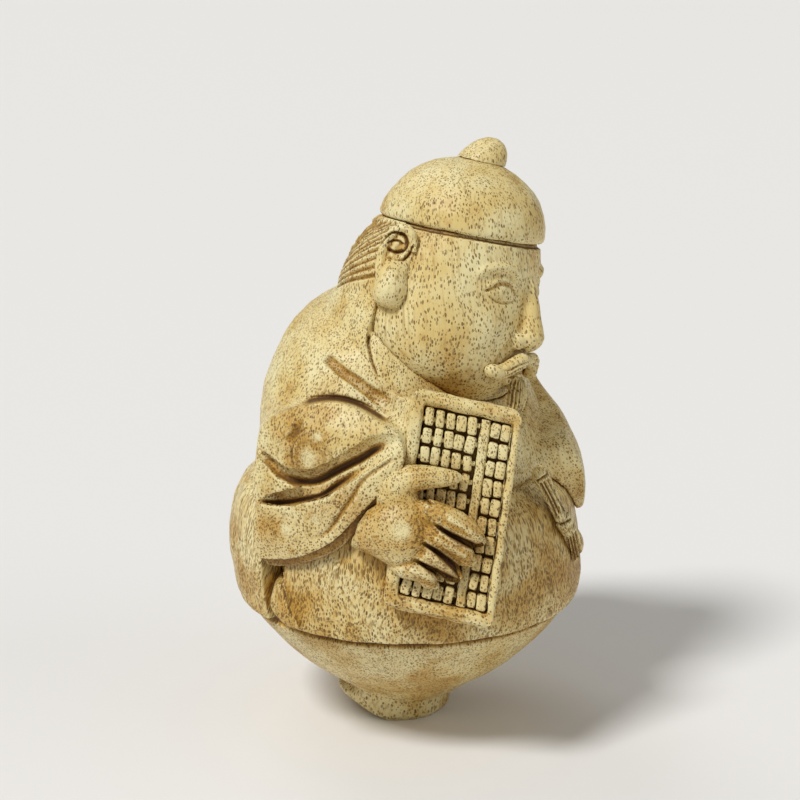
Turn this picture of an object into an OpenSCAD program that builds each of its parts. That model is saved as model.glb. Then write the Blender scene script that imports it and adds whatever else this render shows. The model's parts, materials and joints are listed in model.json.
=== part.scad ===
// Carved bamboo root: a seated merchant in a round cap, with an abacus held against the belly.
// Millimetres. The foot's flat face lies on z = 0, the figure faces -y and its right side is -x.

/* [Root] */
// Radius of the stub that the figure stands on
foot_r = 8.6; // [6:0.1:12]
// Height of the stub
foot_h = 4; // [3:0.1:8]
// Slope of the knife cut on the stub's back edge
foot_bevel = 23; // [0:1:40]
// Distance of that cut's edge from the stub's axis
foot_cut = 1.4; // [0:0.1:8]
// Radius of the plain underside just below the hem
bowl_r = 25.6; // [20:0.1:30]
// Distance of the body's axis in front of the foot's axis
body_shift = 2.3; // [0:0.1:5]

/* [Robe] */
// Greatest radius of the robe
robe_r = 26.8; // [22:0.1:32]
// Height of the robe's hem
hem_z = 20.4; // [16:0.1:26]
// Height of the waist, where the jacket begins
waist_z = 40.5; // [34:0.5:44]
// Extra fullness of the back panel
back_full = 0.7; // [0:0.1:2]
// Angle of the side vent's back edge behind the figure's side
vent_back = 22; // [15:1:45]
// Angle of the side vent's front edge behind the figure's side
vent_front = 14; // [0:1:20]
// Thickness of the folded flap in the side vent
vent_flap = 0.9; // [0.4:0.1:2]

/* [Jacket and sleeves] */
// Half width of the jacket across the elbows
jacket_w = 25; // [20:0.1:30]
// Height of the neck
neck_z = 69; // [62:0.5:72]
// Height of the collar band above the jacket
collar_t = 0.6; // [0.2:0.1:1.5]
// Radius out to the face of the hanging sleeve
sleeve_r = 28.3; // [26:0.1:31]
// Depth of the two long sleeve folds
fold_r = 1.25; // [0.5:0.05:2]
// Step from the sleeve's edge to its lining
lining_step = 1.1; // [0.5:0.1:2]

/* [Hand] */
// Thickness of the fingers
finger_d = 3.3; // [2.5:0.1:5]
// Half height of the back of the hand
palm_h = 5.3; // [4:0.1:8]

/* [Abacus] */
// Width across the short side
abacus_w = 15.9; // [12:0.1:22]
// Length of the long side
abacus_h = 31.4; // [26:0.1:42]
// Thickness of the frame
abacus_t = 3.2; // [2:0.1:5]
// Width of the rails at the two ends
end_rail = 2.3; // [1.5:0.1:4]
// Width of the rail in the palm
inner_rail = 2.1; // [1:0.1:4]
// Width of the rail on the belly side
outer_rail = 1.2; // [0.8:0.1:3]
// Width of the beam between the two decks
beam_w = 1.5; // [1:0.1:3]
// Number of rods
rod_count = 10; // [8:1:13]
// Beads on the wide deck of each rod
lower_count = 5; // [4:1:5]
// Beads on the narrow deck of each rod
upper_count = 2; // [1:1:2]
// Lean of the abacus against the belly
abacus_lean = 12; // [0:0.5:20]
// Slant of the abacus in its own plane
abacus_roll = 7.5; // [-15:0.5:15]

/* [Head] */
// Half width of the head at the cheeks
head_w = 14.6; // [12:0.1:17]
// Forward bow of the head
head_bow = 6; // [0:0.5:20]
// Lean of the head to its left
head_lean = 10.8; // [0:0.2:20]
// Length of the ear
ear_h = 11.4; // [8:0.2:15]

/* [Cap] */
// Radius of the cap at the brim
cap_r = 12.2; // [10:0.1:15]
// Height of the cap above the brim
cap_h = 10.8; // [8:0.1:14]
// Radius of the knob
knob_r = 3.5; // [2:0.1:5]
// Height of the knob
knob_h = 3.3; // [2:0.1:7]

/* [Sash] */
// Width of the tassel's band
tassel_w = 3; // [2:0.1:5]

/* [Hidden] */
$fn = 48;
wood = [0.85, 0.72, 0.5];
pale = [0.9, 0.8, 0.6];
amber = [0.72, 0.5, 0.26];
brow_z = 9.4;
eye_z = 7;
nose_z = -0.6;
mouth_z = -4.4;
eye_x = head_w * 0.4;
brim_z = 14;
rod_r = 0.35;
backing_t = 6;
bead_r = 1.12;
deck_x0 = -abacus_w / 2 + inner_rail;
deck_x1 = abacus_w / 2 - outer_rail;
beam_x = deck_x0 + (deck_x1 - deck_x0) * 0.7;
upper_fold = [[-25.4, 8, 47, fold_r * 0.6], [-26.6, 5.2, 46, fold_r * 0.8], [-27.3, 0.3, 44.4, fold_r],
    [-26.9, -5.5, 46.4, fold_r], [-25.3, -11.2, 50.5, fold_r * 0.9], [-23.6, -14.6, 51, fold_r * 0.6]];
lower_fold = [[-25, 11, 39, fold_r * 0.7], [-27.5, 0.9, 41.4, fold_r], [-27, -6.8, 45.3, fold_r],
    [-24.6, -13.4, 50, fold_r * 0.7]];
rod_pitch = (abacus_h - 2 * end_rail) / rod_count;

// Smooth curve through a list of keys of any length, open or closed
function curve_at(p0, p1, p2, p3, t) =
    0.5 * (2 * p1 + (p2 - p0) * t + (2 * p0 - 5 * p1 + 4 * p2 - p3) * t * t
    + (3 * p1 - p0 - 3 * p2 + p3) * t * t * t);
function flow(keys, steps) = let (n = len(keys)) [
    for (i = [0 : n - 2], s = [0 : steps - 1])
        curve_at(keys[max(i - 1, 0)], keys[i], keys[i + 1], keys[min(i + 2, n - 1)], s / steps),
    keys[n - 1]];
function loop(keys, steps) = let (n = len(keys)) [
    for (i = [0 : n - 1], s = [0 : steps - 1])
        curve_at(keys[(i + n - 1) % n], keys[i], keys[(i + 1) % n], keys[(i + 2) % n], s / steps)];
function unit(v) = v / norm(v);

// Level oval of a key [z, centre x, centre y, half width, half depth]
function oval(k, n) = [for (i = [0 : n - 1])
    let (a = 360 * i / n) [k[1] + k[3] * cos(a), k[2] + k[4] * sin(a), k[0]]];

// Oval square to a path: a reaches sideways and b along the reference direction
function ring(p, t, ref, a, b, n) = let (s = unit(cross(ref, t)), u = cross(t, s)) [
    for (i = [0 : n - 1]) let (q = 360 * i / n) p + a * cos(q) * s + b * sin(q) * u];

// Solid skin over a row of rings
module skin(rings) {
    n = len(rings[0]);
    m = len(rings);
    points = [for (r = rings) each r];
    sides = [for (j = [0 : m - 2], i = [0 : n - 1])
        let (a = j * n + i, b = j * n + (i + 1) % n) each [[a, a + n, b], [b, a + n, b + n]]];
    low = [for (i = [1 : n - 2]) [0, i, i + 1]];
    high = [for (i = [1 : n - 2]) [(m - 1) * n, (m - 1) * n + i + 1, (m - 1) * n + i]];
    polyhedron(points, concat(sides, low, high), convexity = 8);
}

// Form lofted through level ovals
module loft(keys, steps = 3, n = 48) {
    skin([for (k = flow(keys, steps)) oval(k, n)]);
}

// Limb swept through keys [x, y, z, half width, half thickness]
module limb(keys, ref = [0, -1, 0], steps = 3, n = 12) {
    path = flow(keys, steps);
    m = len(path);
    skin([for (i = [0 : m - 1])
        let (p = path[i], d = path[min(i + 1, m - 1)] - path[max(i - 1, 0)])
        ring([p[0], p[1], p[2]], unit([d[0], d[1], d[2]]), ref, p[3], p[4], n)]);
}

// Round-bottomed knife groove through keys [x, y, z, radius]
module groove(keys, steps = 2, n = 10) {
    path = flow(keys, steps);
    for (i = [0 : len(path) - 2])
        hull() {
            translate([path[i][0], path[i][1], path[i][2]]) sphere(path[i][3], $fn = n);
            translate([path[i + 1][0], path[i + 1][1], path[i + 1][2]]) sphere(path[i + 1][3], $fn = n);
        }
}

// Outline drawn over the right side, seen from sixty degrees right of the figure's front
module side_cut(outline, near = 0) {
    rotate([0, 0, -60]) rotate([90, 0, 0]) translate([0, 0, near]) linear_extrude(height = 40 - near)
        polygon(outline);
}

// Upright wedge between two bearings from the +x axis
module wedge(from, to) {
    arc = [for (i = [0 : 8]) let (a = from + (to - from) * i / 8) [60 * cos(a), 60 * sin(a)]];
    translate([0, -body_shift, hem_z - 1]) linear_extrude(height = waist_z - hem_z + 2)
        polygon(concat([[0, 0]], arc));
}

module on_head() {
    translate([-0.85, -9.1, 62.7]) rotate([head_bow, 0, 0]) rotate([0, head_lean, 0]) children();
}

module on_abacus(roll = abacus_roll) {
    translate([-19, -20.3, 40.8]) rotate([0, 0, -62]) rotate([-abacus_lean, 0, 0])
        rotate([0, roll, 0]) children();
}

module foot_form() {
    profile = [[0, 0], [foot_r - 0.8, 0], [foot_r - 0.1, 0.5], [foot_r, 1.2],
        [foot_r + 0.2, foot_h * 0.6], [foot_r + 0.7, foot_h], [0, foot_h]];
    rotate_extrude() polygon(profile);
}

module foot() {
    color(wood) difference() {
        foot_form();
        rotate([0, 0, 30]) translate([-20, foot_cut, 0]) rotate([foot_bevel, 0, 0])
            translate([0, 0, -20]) cube([40, 40, 20]);
    }
}

module lower_bowl_form() {
    r = bowl_r;
    rise = flow([[r * 0.33, foot_h], [r * 0.43, 6], [r * 0.56, 8.3], [r * 0.69, 10.9], [r * 0.78, 13],
        [r * 0.87, 15.7], [r * 0.94, 18], [r, hem_z]], 2);
    profile = concat([[0, foot_h]], rise, [[robe_r - 3, hem_z], [robe_r - 3.2, 30],
        [robe_r - 5.6, waist_z - 1.5], [0, waist_z - 1.5]]);
    translate([0, -body_shift, 0]) rotate_extrude() polygon(profile);
}

module left_sleeve_block() {
    mirror([1, 0, 0]) intersection() {
        left_sleeve_form();
        side_cut(left_edge, 9);
    }
}

module right_sleeve_block() {
    intersection() {
        sleeve_form();
        side_cut(sleeve_edge, 9);
    }
}

module lower_bowl() {
    color(pale) lower_bowl_form();
}

module robe_form(extra = 0, n = 56) {
    r = robe_r + extra;
    y = -body_shift;
    loft([[hem_z, 0, y, r - 0.5, r - 0.5], [hem_z + 3.2, 0, y, r, r], [28.6, 0, y, r - 0.3, r - 0.3],
        [33, 0, y, r - 1, r - 1], [37.5, 0, y, r - 2.4, r - 2.4], [waist_z, 0, y, r - 5, r - 5]], 2, n);
}

module back_form(n = 56) {
    r = robe_r + back_full;
    y = -body_shift;
    loft([[hem_z, 0, y, r - 1.1, r - 1.1], [hem_z + 3, 0, y, r - 0.4, r - 0.4], [28.4, 0, y, r + 0.2, r + 0.2],
        [33, 0, y, r - 0.2, r - 0.2], [37.7, 0, y, r - 1.8, r - 1.8], [waist_z, 0, y, r - 5.6, r - 5.6]], 2, n);
}

module robe_front() {
    color(wood) difference() {
        intersection() {
            robe_form();
            wedge(180 - vent_front, 360 + vent_front);
        }
        lower_bowl_form();
    }
}

module back_panel() {
    intersection() {
        back_form();
        wedge(vent_back, 180 - vent_back);
    }
}

module robe_back() {
    color(wood) difference() {
        back_panel();
        lower_bowl_form();
    }
}

module right_vent_fold() {
    flap = loop([[-16.4, 27.8], [-15.2, 24.6], [-13.9, 21.2], [-16, 21.3], [-18.2, 23.2], [-18, 26]], 3);
    color(pale) difference() {
        intersection() {
            robe_form(vent_flap);
            side_cut(flap);
        }
        robe_front();
        wedge(vent_back, 180 - vent_back);
        lower_bowl_form();
    }
}

module left_vent_fold() {
    mirror([1, 0, 0]) right_vent_fold();
}

module jacket_form(extra = 0) {
    w = jacket_w + extra;
    d = extra;
    loft([[waist_z - 1.5, 0, -1.8, w, 21.8 + d], [46.4, 0, -1.1, w - 0.7, 20.5 + d],
        [53.5, 0, 0.4, w - 2.2, 18.2 + d], [60.6, 0, 0.2, w - 6.5, 15.7 + d],
        [64, 0, -1.4, w - 10.2, 14.9 + d], [66.9, 0, -4, w - 13.5, 13 + d],
        [neck_z, 0, -5, w - 17, 9 + d]], 2, 48);
}

module jacket() {
    color(wood) difference() {
        jacket_form();
        back_panel();
        head_form();
        hair_form();
        on_abacus() abacus_block();
    }
}

// One lapel, from beside the nape down over the chest
module lapel() {
    outer = [[-7.7, 68.6], [-4.9, 64.5], [-4.3, 61.9], [-3, 58.3], [0, 54.8], [5, 50.4], [11, 46.2],
        [19.5, 42]];
    inner = [[21, 46.4], [13, 50.8], [7.5, 55], [3.6, 58.8], [1.8, 62.3], [0.8, 65.2], [-2, 69.4]];
    intersection() {
        jacket_form(collar_t);
        side_cut(concat(flow(outer, 2), flow(inner, 2)));
    }
}

module collar() {
    color(pale) difference() {
        union() {
            lapel();
            mirror([1, 0, 0]) lapel();
        }
        jacket_form();
        head_form();
        hair_form();
        on_abacus() abacus_block();
    }
}

module sleeve_form(extra = 0) {
    r = sleeve_r + extra;
    loft([[28, 0, -1, r - 0.6, r - 0.6], [34, 0, -1, r, r], [40, 0, -1, r, r], [46, 0, -1, r - 0.3, r - 0.5],
        [50.5, 0, -1, r - 0.6, r - 1.6], [54, 0, -1, r - 2.2, r - 4], [58.5, 0, -1, r - 6.4, r - 9]], 2, 56);
}

// The left forearm crosses the belly, so its sleeve falls away toward the front
module left_sleeve_form(extra = 0) {
    r = sleeve_r + extra;
    loft([[28, 0, -1, r - 1.4, r - 1.4], [32.5, 0, -1, r - 0.4, r - 0.4], [37, 0, -1, r + 0.1, r + 0.1],
        [41, 0, -1, r, r - 0.6], [44.4, 0, -1, r - 0.3, r - 2.6], [47.6, 0, -1, r - 0.5, r - 5.4],
        [50.4, 0, -1, r - 1, r - 8.8], [54, 0, -1, r - 2.6, r - 10.2], [58.5, 0, -1, r - 6.6, r - 12]], 2, 56);
}

sleeve_edge = loop([[0.4, 52.2], [-4.6, 54.6], [-9.6, 55.4], [-14.6, 54], [-19, 51], [-20.4, 45.6], [-20.6, 38],
    [-20.4, 31.2], [-16.8, 31.4], [-12.4, 33.4], [-8.8, 35.8], [-6.4, 38.6], [-3.6, 41.8], [-0.8, 44.6],
    [1.2, 47.4], [1.2, 51]], 3);
left_edge = loop([[17.4, 45], [12, 47], [7, 49.6], [2, 52.4], [-5, 55], [-11, 55.4], [-16, 54], [-19.4, 50.1],
    [-20.5, 44], [-20.5, 37], [-19.8, 31.8], [-13, 31.2], [-5, 31], [3, 31], [11, 31.6], [16.6, 33.2],
    [19, 36.8], [19.2, 41.6]], 3);

// What every sleeve is cut back to
module under_sleeve() {
    jacket_form();
    robe_form();
    back_panel();
    lower_bowl_form();
}

module right_sleeve() {
    color(wood) difference() {
        intersection() {
            sleeve_form();
            side_cut(sleeve_edge, 9);
        }
        groove(upper_fold);
        groove(lower_fold);
        under_sleeve();
        on_abacus() abacus_block();
        hand_form();
    }
}

module left_sleeve() {
    color(wood) mirror([1, 0, 0]) difference() {
        intersection() {
            left_sleeve_form();
            side_cut(left_edge, 9);
        }
        groove(upper_fold);
        groove(lower_fold);
        under_sleeve();
    }
}

module right_sleeve_lining() {
    color(amber) difference() {
        intersection() {
            sleeve_form(-lining_step);
            side_cut([for (p = sleeve_edge) p + [1, -1.1]], 9);
        }
        side_cut(sleeve_edge, 9);
        side_cut([[-30, 44.4], [30, 44.8], [30, 70], [-30, 70]]);
        under_sleeve();
        on_abacus() abacus_block();
        hand_form();
    }
}

module left_sleeve_lining() {
    color(amber) mirror([1, 0, 0]) difference() {
        intersection() {
            left_sleeve_form(-lining_step);
            side_cut([for (p = left_edge) p + [0, -1.1]], 9);
        }
        side_cut(left_edge, 9);
        side_cut([[-18.5, 36], [14, 36], [14, 20], [40, 20], [40, 70], [-40, 70], [-40, 20], [-18.5, 20]]);
        under_sleeve();
    }
}

module hand_form() {
    on_abacus(0) limb([[-14, 0.4, -4.8, 0.8, 0.8], [-13, 0.1, -4.8, palm_h * 0.27, 2],
        [-10.6, -0.8, -3.7, palm_h * 0.74, 3.2], [-7.2, -1.8, -3.3, palm_h, 3.5],
        [-4.8, -2.3, -3.9, palm_h * 0.85, 2.7], [-3.4, -2.4, -4.2, palm_h * 0.4, 1.2]], [0, -1, 0], 2, 16);
}

module right_hand() {
    color(pale) difference() {
        hand_form();
        on_abacus() abacus_block();
        jacket_form();
        robe_form();
        lower_bowl_form();
    }
}

module thumb_form() {
    on_abacus(0) limb([[-9, -0.8, -1, 1.4, 1.6], [-8.6, -1.3, 1.6, 2.4, 2.4], [-7, -2, 3.7, 2.4, 2.3],
        [-4.2, -2.9, 4.6, 1.8, 1.7],
        [-1.4, -3, 4.6, 1.4, 1.2], [0.6, -2.8, 4.6, 0.9, 0.8], [1.3, -2.6, 4.6, 0.3, 0.3]], [0, -1, 0], 2, 12);
}

module right_thumb() {
    color(pale) difference() {
        thumb_form();
        on_abacus() abacus_block();
        hand_form();
    }
}

// Finger lying on the abacus from its knuckle to its tip, both [x, z] on the abacus face
module finger_form(from, to, size = 1) {
    d = finger_d * size / 2;
    y = -abacus_t / 2 - d * 0.62;
    bend = (from + to) / 2 + [0.2, 0.7];
    on_abacus(0) limb([[from[0] - 1.6, y + 0.9, from[1] + 0.4, d * 0.6, d * 0.6],
        [from[0], y, from[1], d * 1.05, d * 1.05], [bend[0], y - 0.35, bend[1], d, d],
        [to[0] - 1.2, y, to[1] + 0.7, d * 0.85, d * 0.82], [to[0], y + 0.4, to[1], d * 0.3, d * 0.3]],
        [0, -1, 0], 2, 12);
}

module right_index_finger() {
    color(pale) difference() {
        finger_form([-3.5, -0.2], [4.5, -4.6], 1.05);
        on_abacus() abacus_block();
        hand_form();
    }
}

module right_middle_finger() {
    color(pale) difference() {
        finger_form([-3.5, -3.4], [3.3, -7.4], 1);
        finger_form([-3.5, -0.2], [4.5, -4.6], 1.05);
        on_abacus() abacus_block();
        hand_form();
    }
}

module right_ring_finger() {
    color(pale) difference() {
        finger_form([-4.6, -6.1], [1.4, -9.7], 0.95);
        finger_form([-3.5, -3.4], [3.3, -7.4], 1);
        on_abacus() abacus_block();
        hand_form();
    }
}

module right_little_finger() {
    color(pale) difference() {
        finger_form([-6.7, -8.2], [-1.9, -10.8], 0.85);
        finger_form([-4.6, -6.1], [1.4, -9.7], 0.95);
        on_abacus() abacus_block();
        hand_form();
    }
}

module abacus_block() {
    translate([-abacus_w / 2, -abacus_t / 2, -abacus_h / 2]) cube([abacus_w, abacus_t, abacus_h]);
}

// Bar with eased edges, lying along +x
module bar(length, width, depth, ease = 0.5) {
    w = width / 2;
    d = depth / 2;
    rotate([90, 0, 90]) linear_extrude(height = length) polygon([[-d + ease, -w], [d - ease, -w],
        [d, -w + ease], [d, w - ease], [d - ease, w], [-d + ease, w], [-d, w - ease], [-d, -w + ease]]);
}

module abacus_back_board() {
    color(wood) difference() {
        on_abacus() {
            translate([deck_x0, abacus_t / 2 - 0.9, -abacus_h / 2 + end_rail])
                cube([deck_x1 - deck_x0, 0.9, abacus_h - 2 * end_rail]);
            translate([-abacus_w / 2 + 1.2, abacus_t / 2, -abacus_h / 2 + 1])
                cube([abacus_w - 3.4, backing_t, abacus_h - 3]);
        }
        under_sleeve();
        hand_form();
        right_sleeve_block();
    }
}

module abacus_top_rail() {
    color(wood) on_abacus() translate([-abacus_w / 2, 0, (abacus_h - end_rail) / 2])
        bar(abacus_w, end_rail, abacus_t, 0.7);
}

module abacus_bottom_rail() {
    color(wood) on_abacus() translate([-abacus_w / 2, 0, -(abacus_h - end_rail) / 2])
        bar(abacus_w, end_rail, abacus_t, 0.7);
}

module abacus_inner_rail() {
    color(wood) on_abacus() translate([deck_x0 - inner_rail / 2, 0, abacus_h / 2 - end_rail])
        rotate([0, 90, 0]) bar(abacus_h - 2 * end_rail, inner_rail, abacus_t, 0.5);
}

module abacus_outer_rail() {
    color(wood) on_abacus() translate([deck_x1 + outer_rail / 2, 0, abacus_h / 2 - end_rail])
        rotate([0, 90, 0]) bar(abacus_h - 2 * end_rail, outer_rail, abacus_t, 0.3);
}

module abacus_beam() {
    color(wood) on_abacus() translate([beam_x, -0.35, abacus_h / 2 - end_rail]) rotate([0, 90, 0])
        bar(abacus_h - 2 * end_rail, beam_w, abacus_t - 2.1, 0.25);
}

function rod_z(i) = -abacus_h / 2 + end_rail + rod_pitch * (i + 0.5);

module rod_span(x0, x1, z) {
    translate([x0, -0.45, z]) rotate([0, 90, 0]) cylinder(h = x1 - x0, r = rod_r, $fn = 16);
}

module abacus_rods() {
    color(amber) on_abacus() for (i = [0 : rod_count - 1]) {
        rod_span(deck_x0, beam_x - beam_w / 2, rod_z(i));
        rod_span(beam_x + beam_w / 2, deck_x1, rod_z(i));
    }
}

// Barrel bead with its bore along +x
module bead(length) {
    half = length / 2;
    rotate([0, 90, 0]) rotate_extrude($fn = 20) polygon([[rod_r, -half], [bead_r * 0.72, -half],
        [bead_r, -half * 0.4], [bead_r, half * 0.4], [bead_r * 0.72, half], [rod_r, half]]);
}

// Row of beads on every rod of one deck
module deck(x0, x1, count) {
    pitch = (x1 - x0) / count;
    for (i = [0 : rod_count - 1], k = [0 : count - 1])
        translate([x0 + pitch * (k + 0.5), -0.45, rod_z(i)]) bead(pitch * 0.92);
}

module abacus_lower_beads() {
    color(pale) on_abacus() deck(deck_x0 + 0.15, beam_x - beam_w / 2 - 0.15, lower_count);
}

module abacus_upper_beads() {
    color(pale) on_abacus() deck(beam_x + beam_w / 2 + 0.1, deck_x1 - 0.1, upper_count);
}

module sash_knot() {
    color(pale) difference() {
        limb([[-4.7, -26.2, 43.8, 0.8, 0.5], [-4.4, -26.6, 43.2, 1.5, 1.2], [-3.8, -26.9, 42.2, 1.5, 1.2],
            [-3, -27.3, 40.5, 1.25, 1], [-1.6, -28, 37.8, 1.2, 0.95], [-0.4, -28.5, 35.4, 1.2, 0.9]],
            [0, -1, 0], 2, 10);
        jacket_form();
        robe_form();
        left_sleeve_block();
        on_abacus() abacus_block();
    }
}

module tassel_band() {
    color(amber) difference() {
        limb([[-0.4, -28.5, 35.4, tassel_w * 0.46, 1.1], [0.1, -28.7, 34.8, tassel_w * 0.5, 1.3],
            [1, -28.9, 33.6, tassel_w * 0.5, 1.3], [1.4, -28.9, 33, tassel_w * 0.46, 1.1]],
            [0, -1, 0], 2, 12);
        robe_form();
    }
}

module tassel() {
    color(pale) difference() {
        limb([[1.4, -28.9, 33, tassel_w * 0.46, 1.1], [2.6, -29, 31.6, tassel_w * 0.52, 1.1],
            [4, -28.9, 30, tassel_w * 0.62, 1], [5.4, -28.5, 28.4, tassel_w * 0.7, 0.8]],
            [0, -1, 0], 2, 14);
        robe_form();
    }
}

module head_form() {
    w = head_w;
    on_head() loft([[-11.2, 0, -2.4, 3.4, 3], [-9.8, 0, -2, w - 6.4, 7.4], [-6.5, 0, -1, w - 1.9, 11.2],
        [-2.5, 0, 0, w, 12.8], [2, 0, 0.2, w - 0.1, 13], [7, 0, 0.2, w - 1, 12.7], [11.5, 0, 0, w - 2, 12.1],
        [brim_z, 0, 0, w - 2.8, 11.6]], 3, 40);
}

module head() {
    color(pale) head_form();
}

module hair_form() {
    on_head() intersection() {
        loft([[-3, 0, 3, 13, 14.2], [0.5, 0, 3, 13.9, 14.5], [4.5, 0, 3, 14.3, 14.4], [9, 0, 2.4, 13.8, 13.7],
            [12.4, 0, 1.6, 12.7, 12.6], [brim_z, 0, 0.8, 11.9, 11.9]], 2, 40);
        translate([-20, 3.4, -8]) cube([40, 20, 8 + brim_z]);
    }
}

module hair() {
    color(amber) difference() {
        hair_form();
        head_form();
    }
}

module ear_form() {
    h = ear_h / 2;
    rim = [[-1.7, 3], [-0.6, 5.4], [1.2, 5.9], [2.5, 4], [2.6, 1], [1.6, -2], [0.6, -4.2]];
    on_head() translate([-head_w + 0.9, 2.6, 7.6]) rotate([8, 6, 14]) scale([1, 1, h / 6]) {
        loft([[-6.2, 0, 0.2, 0.6, 0.7], [-5.6, -0.2, 0.2, 1.7, 2], [-3.8, -0.4, 0.2, 2.1, 2.5],
            [-1.4, -0.2, 0.3, 1.7, 2.4], [1, 0, 0.5, 1.2, 2.5], [4, 0, 0.5, 1, 2.5], [5.6, 0, 0.4, 0.8, 1.6],
            [6.1, 0, 0.4, 0.3, 0.5]], 2, 14);
        limb([for (i = [0 : 6]) [-0.9, rim[i][0], rim[i][1], i == 0 || i == 6 ? 0.4 : 0.75,
            i == 0 || i == 6 ? 0.4 : 0.75]], [1, 0, 0], 2, 7);
    }
}

module right_ear() {
    color(pale) difference() {
        ear_form();
        on_head() translate([-head_w + 0.9, 2.6, 7.6]) rotate([8, 6, 14])
            limb([[-1.6, -0.9, 3.6, 0.4, 0.5], [-1.5, 0.2, 3.2, 0.9, 0.9], [-1.5, 0.5, 1.6, 0.8, 0.8],
                [-1.6, -0.3, 0.7, 0.4, 0.4]], [1, 0, 0], 2, 10);
        head_form();
        hair_form();
    }
}

module mirror_head() {
    on_head() mirror([1, 0, 0]) rotate([0, -head_lean, 0]) rotate([-head_bow, 0, 0])
        translate([0.85, 9.1, -62.7]) children();
}

module left_ear() {
    mirror_head() right_ear();
}

module eye_form() {
    on_head() limb([[-eye_x - 2.9, -9.6, eye_z + 0.1, 0.3, 0.3], [-eye_x - 1.7, -10.5, eye_z + 0.1, 1, 0.7],
        [-eye_x, -11.4, eye_z, 1.35, 0.9], [-eye_x + 1.7, -12, eye_z - 0.1, 1, 0.7],
        [-eye_x + 2.8, -12.3, eye_z - 0.3, 0.3, 0.3]], [0, -1, 0], 2, 12);
}

module right_eye() {
    color(pale) difference() {
        eye_form();
        head_form();
    }
}

module left_eye() {
    mirror_head() right_eye();
}

module right_brow() {
    color(amber) difference() {
        on_head() limb([[-eye_x - 4, -8.2, brow_z - 0.5, 0.3, 0.3], [-eye_x - 2, -9.9, brow_z + 0.4, 0.6, 0.6],
            [-eye_x + 0.4, -11.3, brow_z + 0.6, 0.8, 0.7], [-eye_x + 2.8, -12.1, brow_z - 0.1, 0.6, 0.6],
            [-eye_x + 3.6, -12.2, brow_z - 0.4, 0.3, 0.3]], [0, -1, 0], 2, 10);
        head_form();
    }
}

module left_brow() {
    mirror_head() right_brow();
}

module nose_form() {
    on_head() {
        limb([[0, -12.3, brow_z - 0.2, 0.8, 0.6], [0, -12.7, eye_z, 1.2, 1.1], [0, -13.4, 3.6, 1.6, 1.6],
            [0, -14.2, nose_z + 1.5, 2.1, 1.8], [0, -14, nose_z + 0.2, 1.7, 1.2],
            [0, -13.3, nose_z - 0.6, 0.6, 0.5]], [0, -1, 0], 2, 12);
        for (s = [-1, 1])
            translate([s * 2.1, -13, nose_z + 0.7]) sphere(1.35, $fn = 14);
    }
}

module nose() {
    color(pale) difference() {
        nose_form();
        head_form();
    }
}

module right_moustache() {
    color(amber) difference() {
        on_head() limb([[-0.15, -13.8, mouth_z + 2, 0.6, 0.6], [-1.6, -14.1, mouth_z + 1.9, 1.2, 1.1],
            [-3.4, -13.5, mouth_z + 1, 1.2, 1.1], [-4.9, -12.7, mouth_z, 1.15, 1.1],
            [-5.9, -12.2, mouth_z - 0.2, 1.25, 1.25], [-6.8, -11.6, mouth_z + 0.1, 1, 1],
            [-7.3, -11.2, mouth_z + 0.3, 0.3, 0.3]], [0, -1, 0], 2, 12);
        head_form();
        nose_form();
    }
}

module left_moustache() {
    mirror_head() right_moustache();
}

module lower_lip() {
    color(pale) difference() {
        on_head() limb([[-3.4, -11.6, mouth_z - 0.8, 0.3, 0.3], [-1.8, -12.2, mouth_z - 1.1, 0.7, 0.7],
            [0, -12.5, mouth_z - 1.2, 0.9, 0.9], [1.8, -12.2, mouth_z - 1.1, 0.7, 0.7],
            [3.4, -11.6, mouth_z - 0.8, 0.3, 0.3]], [0, -1, 0], 2, 10);
        head_form();
    }
}

module beard() {
    color(amber) difference() {
        limb([[-1.4, -20.6, 56.6, 0.6, 0.5], [-1.6, -21.3, 55.8, 1.7, 1.2], [-2.2, -21.9, 54.2, 2, 1.3],
            [-3, -22, 52.4, 2, 1.2], [-3.9, -21.8, 50.6, 1.4, 0.9], [-4.4, -21.6, 49.6, 0.4, 0.4]],
            [0, -1, 0], 2, 12);
        head_form();
        jacket_form();
        on_abacus() abacus_block();
    }
}

module cap_form() {
    dome = [for (i = [0 : 9]) let (a = i * 10) [(cap_r - 0.1) * cos(a), brim_z + 0.9 + (cap_h - 0.9) * sin(a)]];
    profile = concat([[0, brim_z], [cap_r - 0.6, brim_z], [cap_r - 0.2, brim_z + 0.4]], dome,
        [[0, brim_z + cap_h]]);
    on_head() rotate_extrude($fn = 96) polygon(profile);
}

module cap() {
    color(wood) cap_form();
}

// The knob leans forward and to the figure's left
module cap_knob() {
    base = brim_z + cap_h;
    r = knob_r;
    color(wood) difference() {
        on_head() loft([[base - 2, 0.2, -0.3, r * 1.1, r * 1.1], [base - 0.2, 0.4, -0.6, r * 1.06, r * 1.06],
            [base + knob_h * 0.4, 0.7, -1, r * 0.9, r * 0.9], [base + knob_h * 0.8, 0.9, -1.3, r * 0.6, r * 0.6],
            [base + knob_h, 1, -1.4, r * 0.2, r * 0.2]], 2, 20);
        cap_form();
    }
}

foot();
lower_bowl();
robe_front();
robe_back();
right_vent_fold();
left_vent_fold();
jacket();
collar();
right_sleeve();
left_sleeve();
right_sleeve_lining();
left_sleeve_lining();
right_hand();
right_thumb();
right_index_finger();
right_middle_finger();
right_ring_finger();
right_little_finger();
abacus_back_board();
abacus_top_rail();
abacus_bottom_rail();
abacus_inner_rail();
abacus_outer_rail();
abacus_beam();
abacus_rods();
abacus_lower_beads();
abacus_upper_beads();
sash_knot();
tassel_band();
tassel();
head();
hair();
right_ear();
left_ear();
right_eye();
left_eye();
right_brow();
left_brow();
nose();
right_moustache();
left_moustache();
lower_lip();
beard();
cap();
cap_knob();
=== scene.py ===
import json
import math

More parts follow.
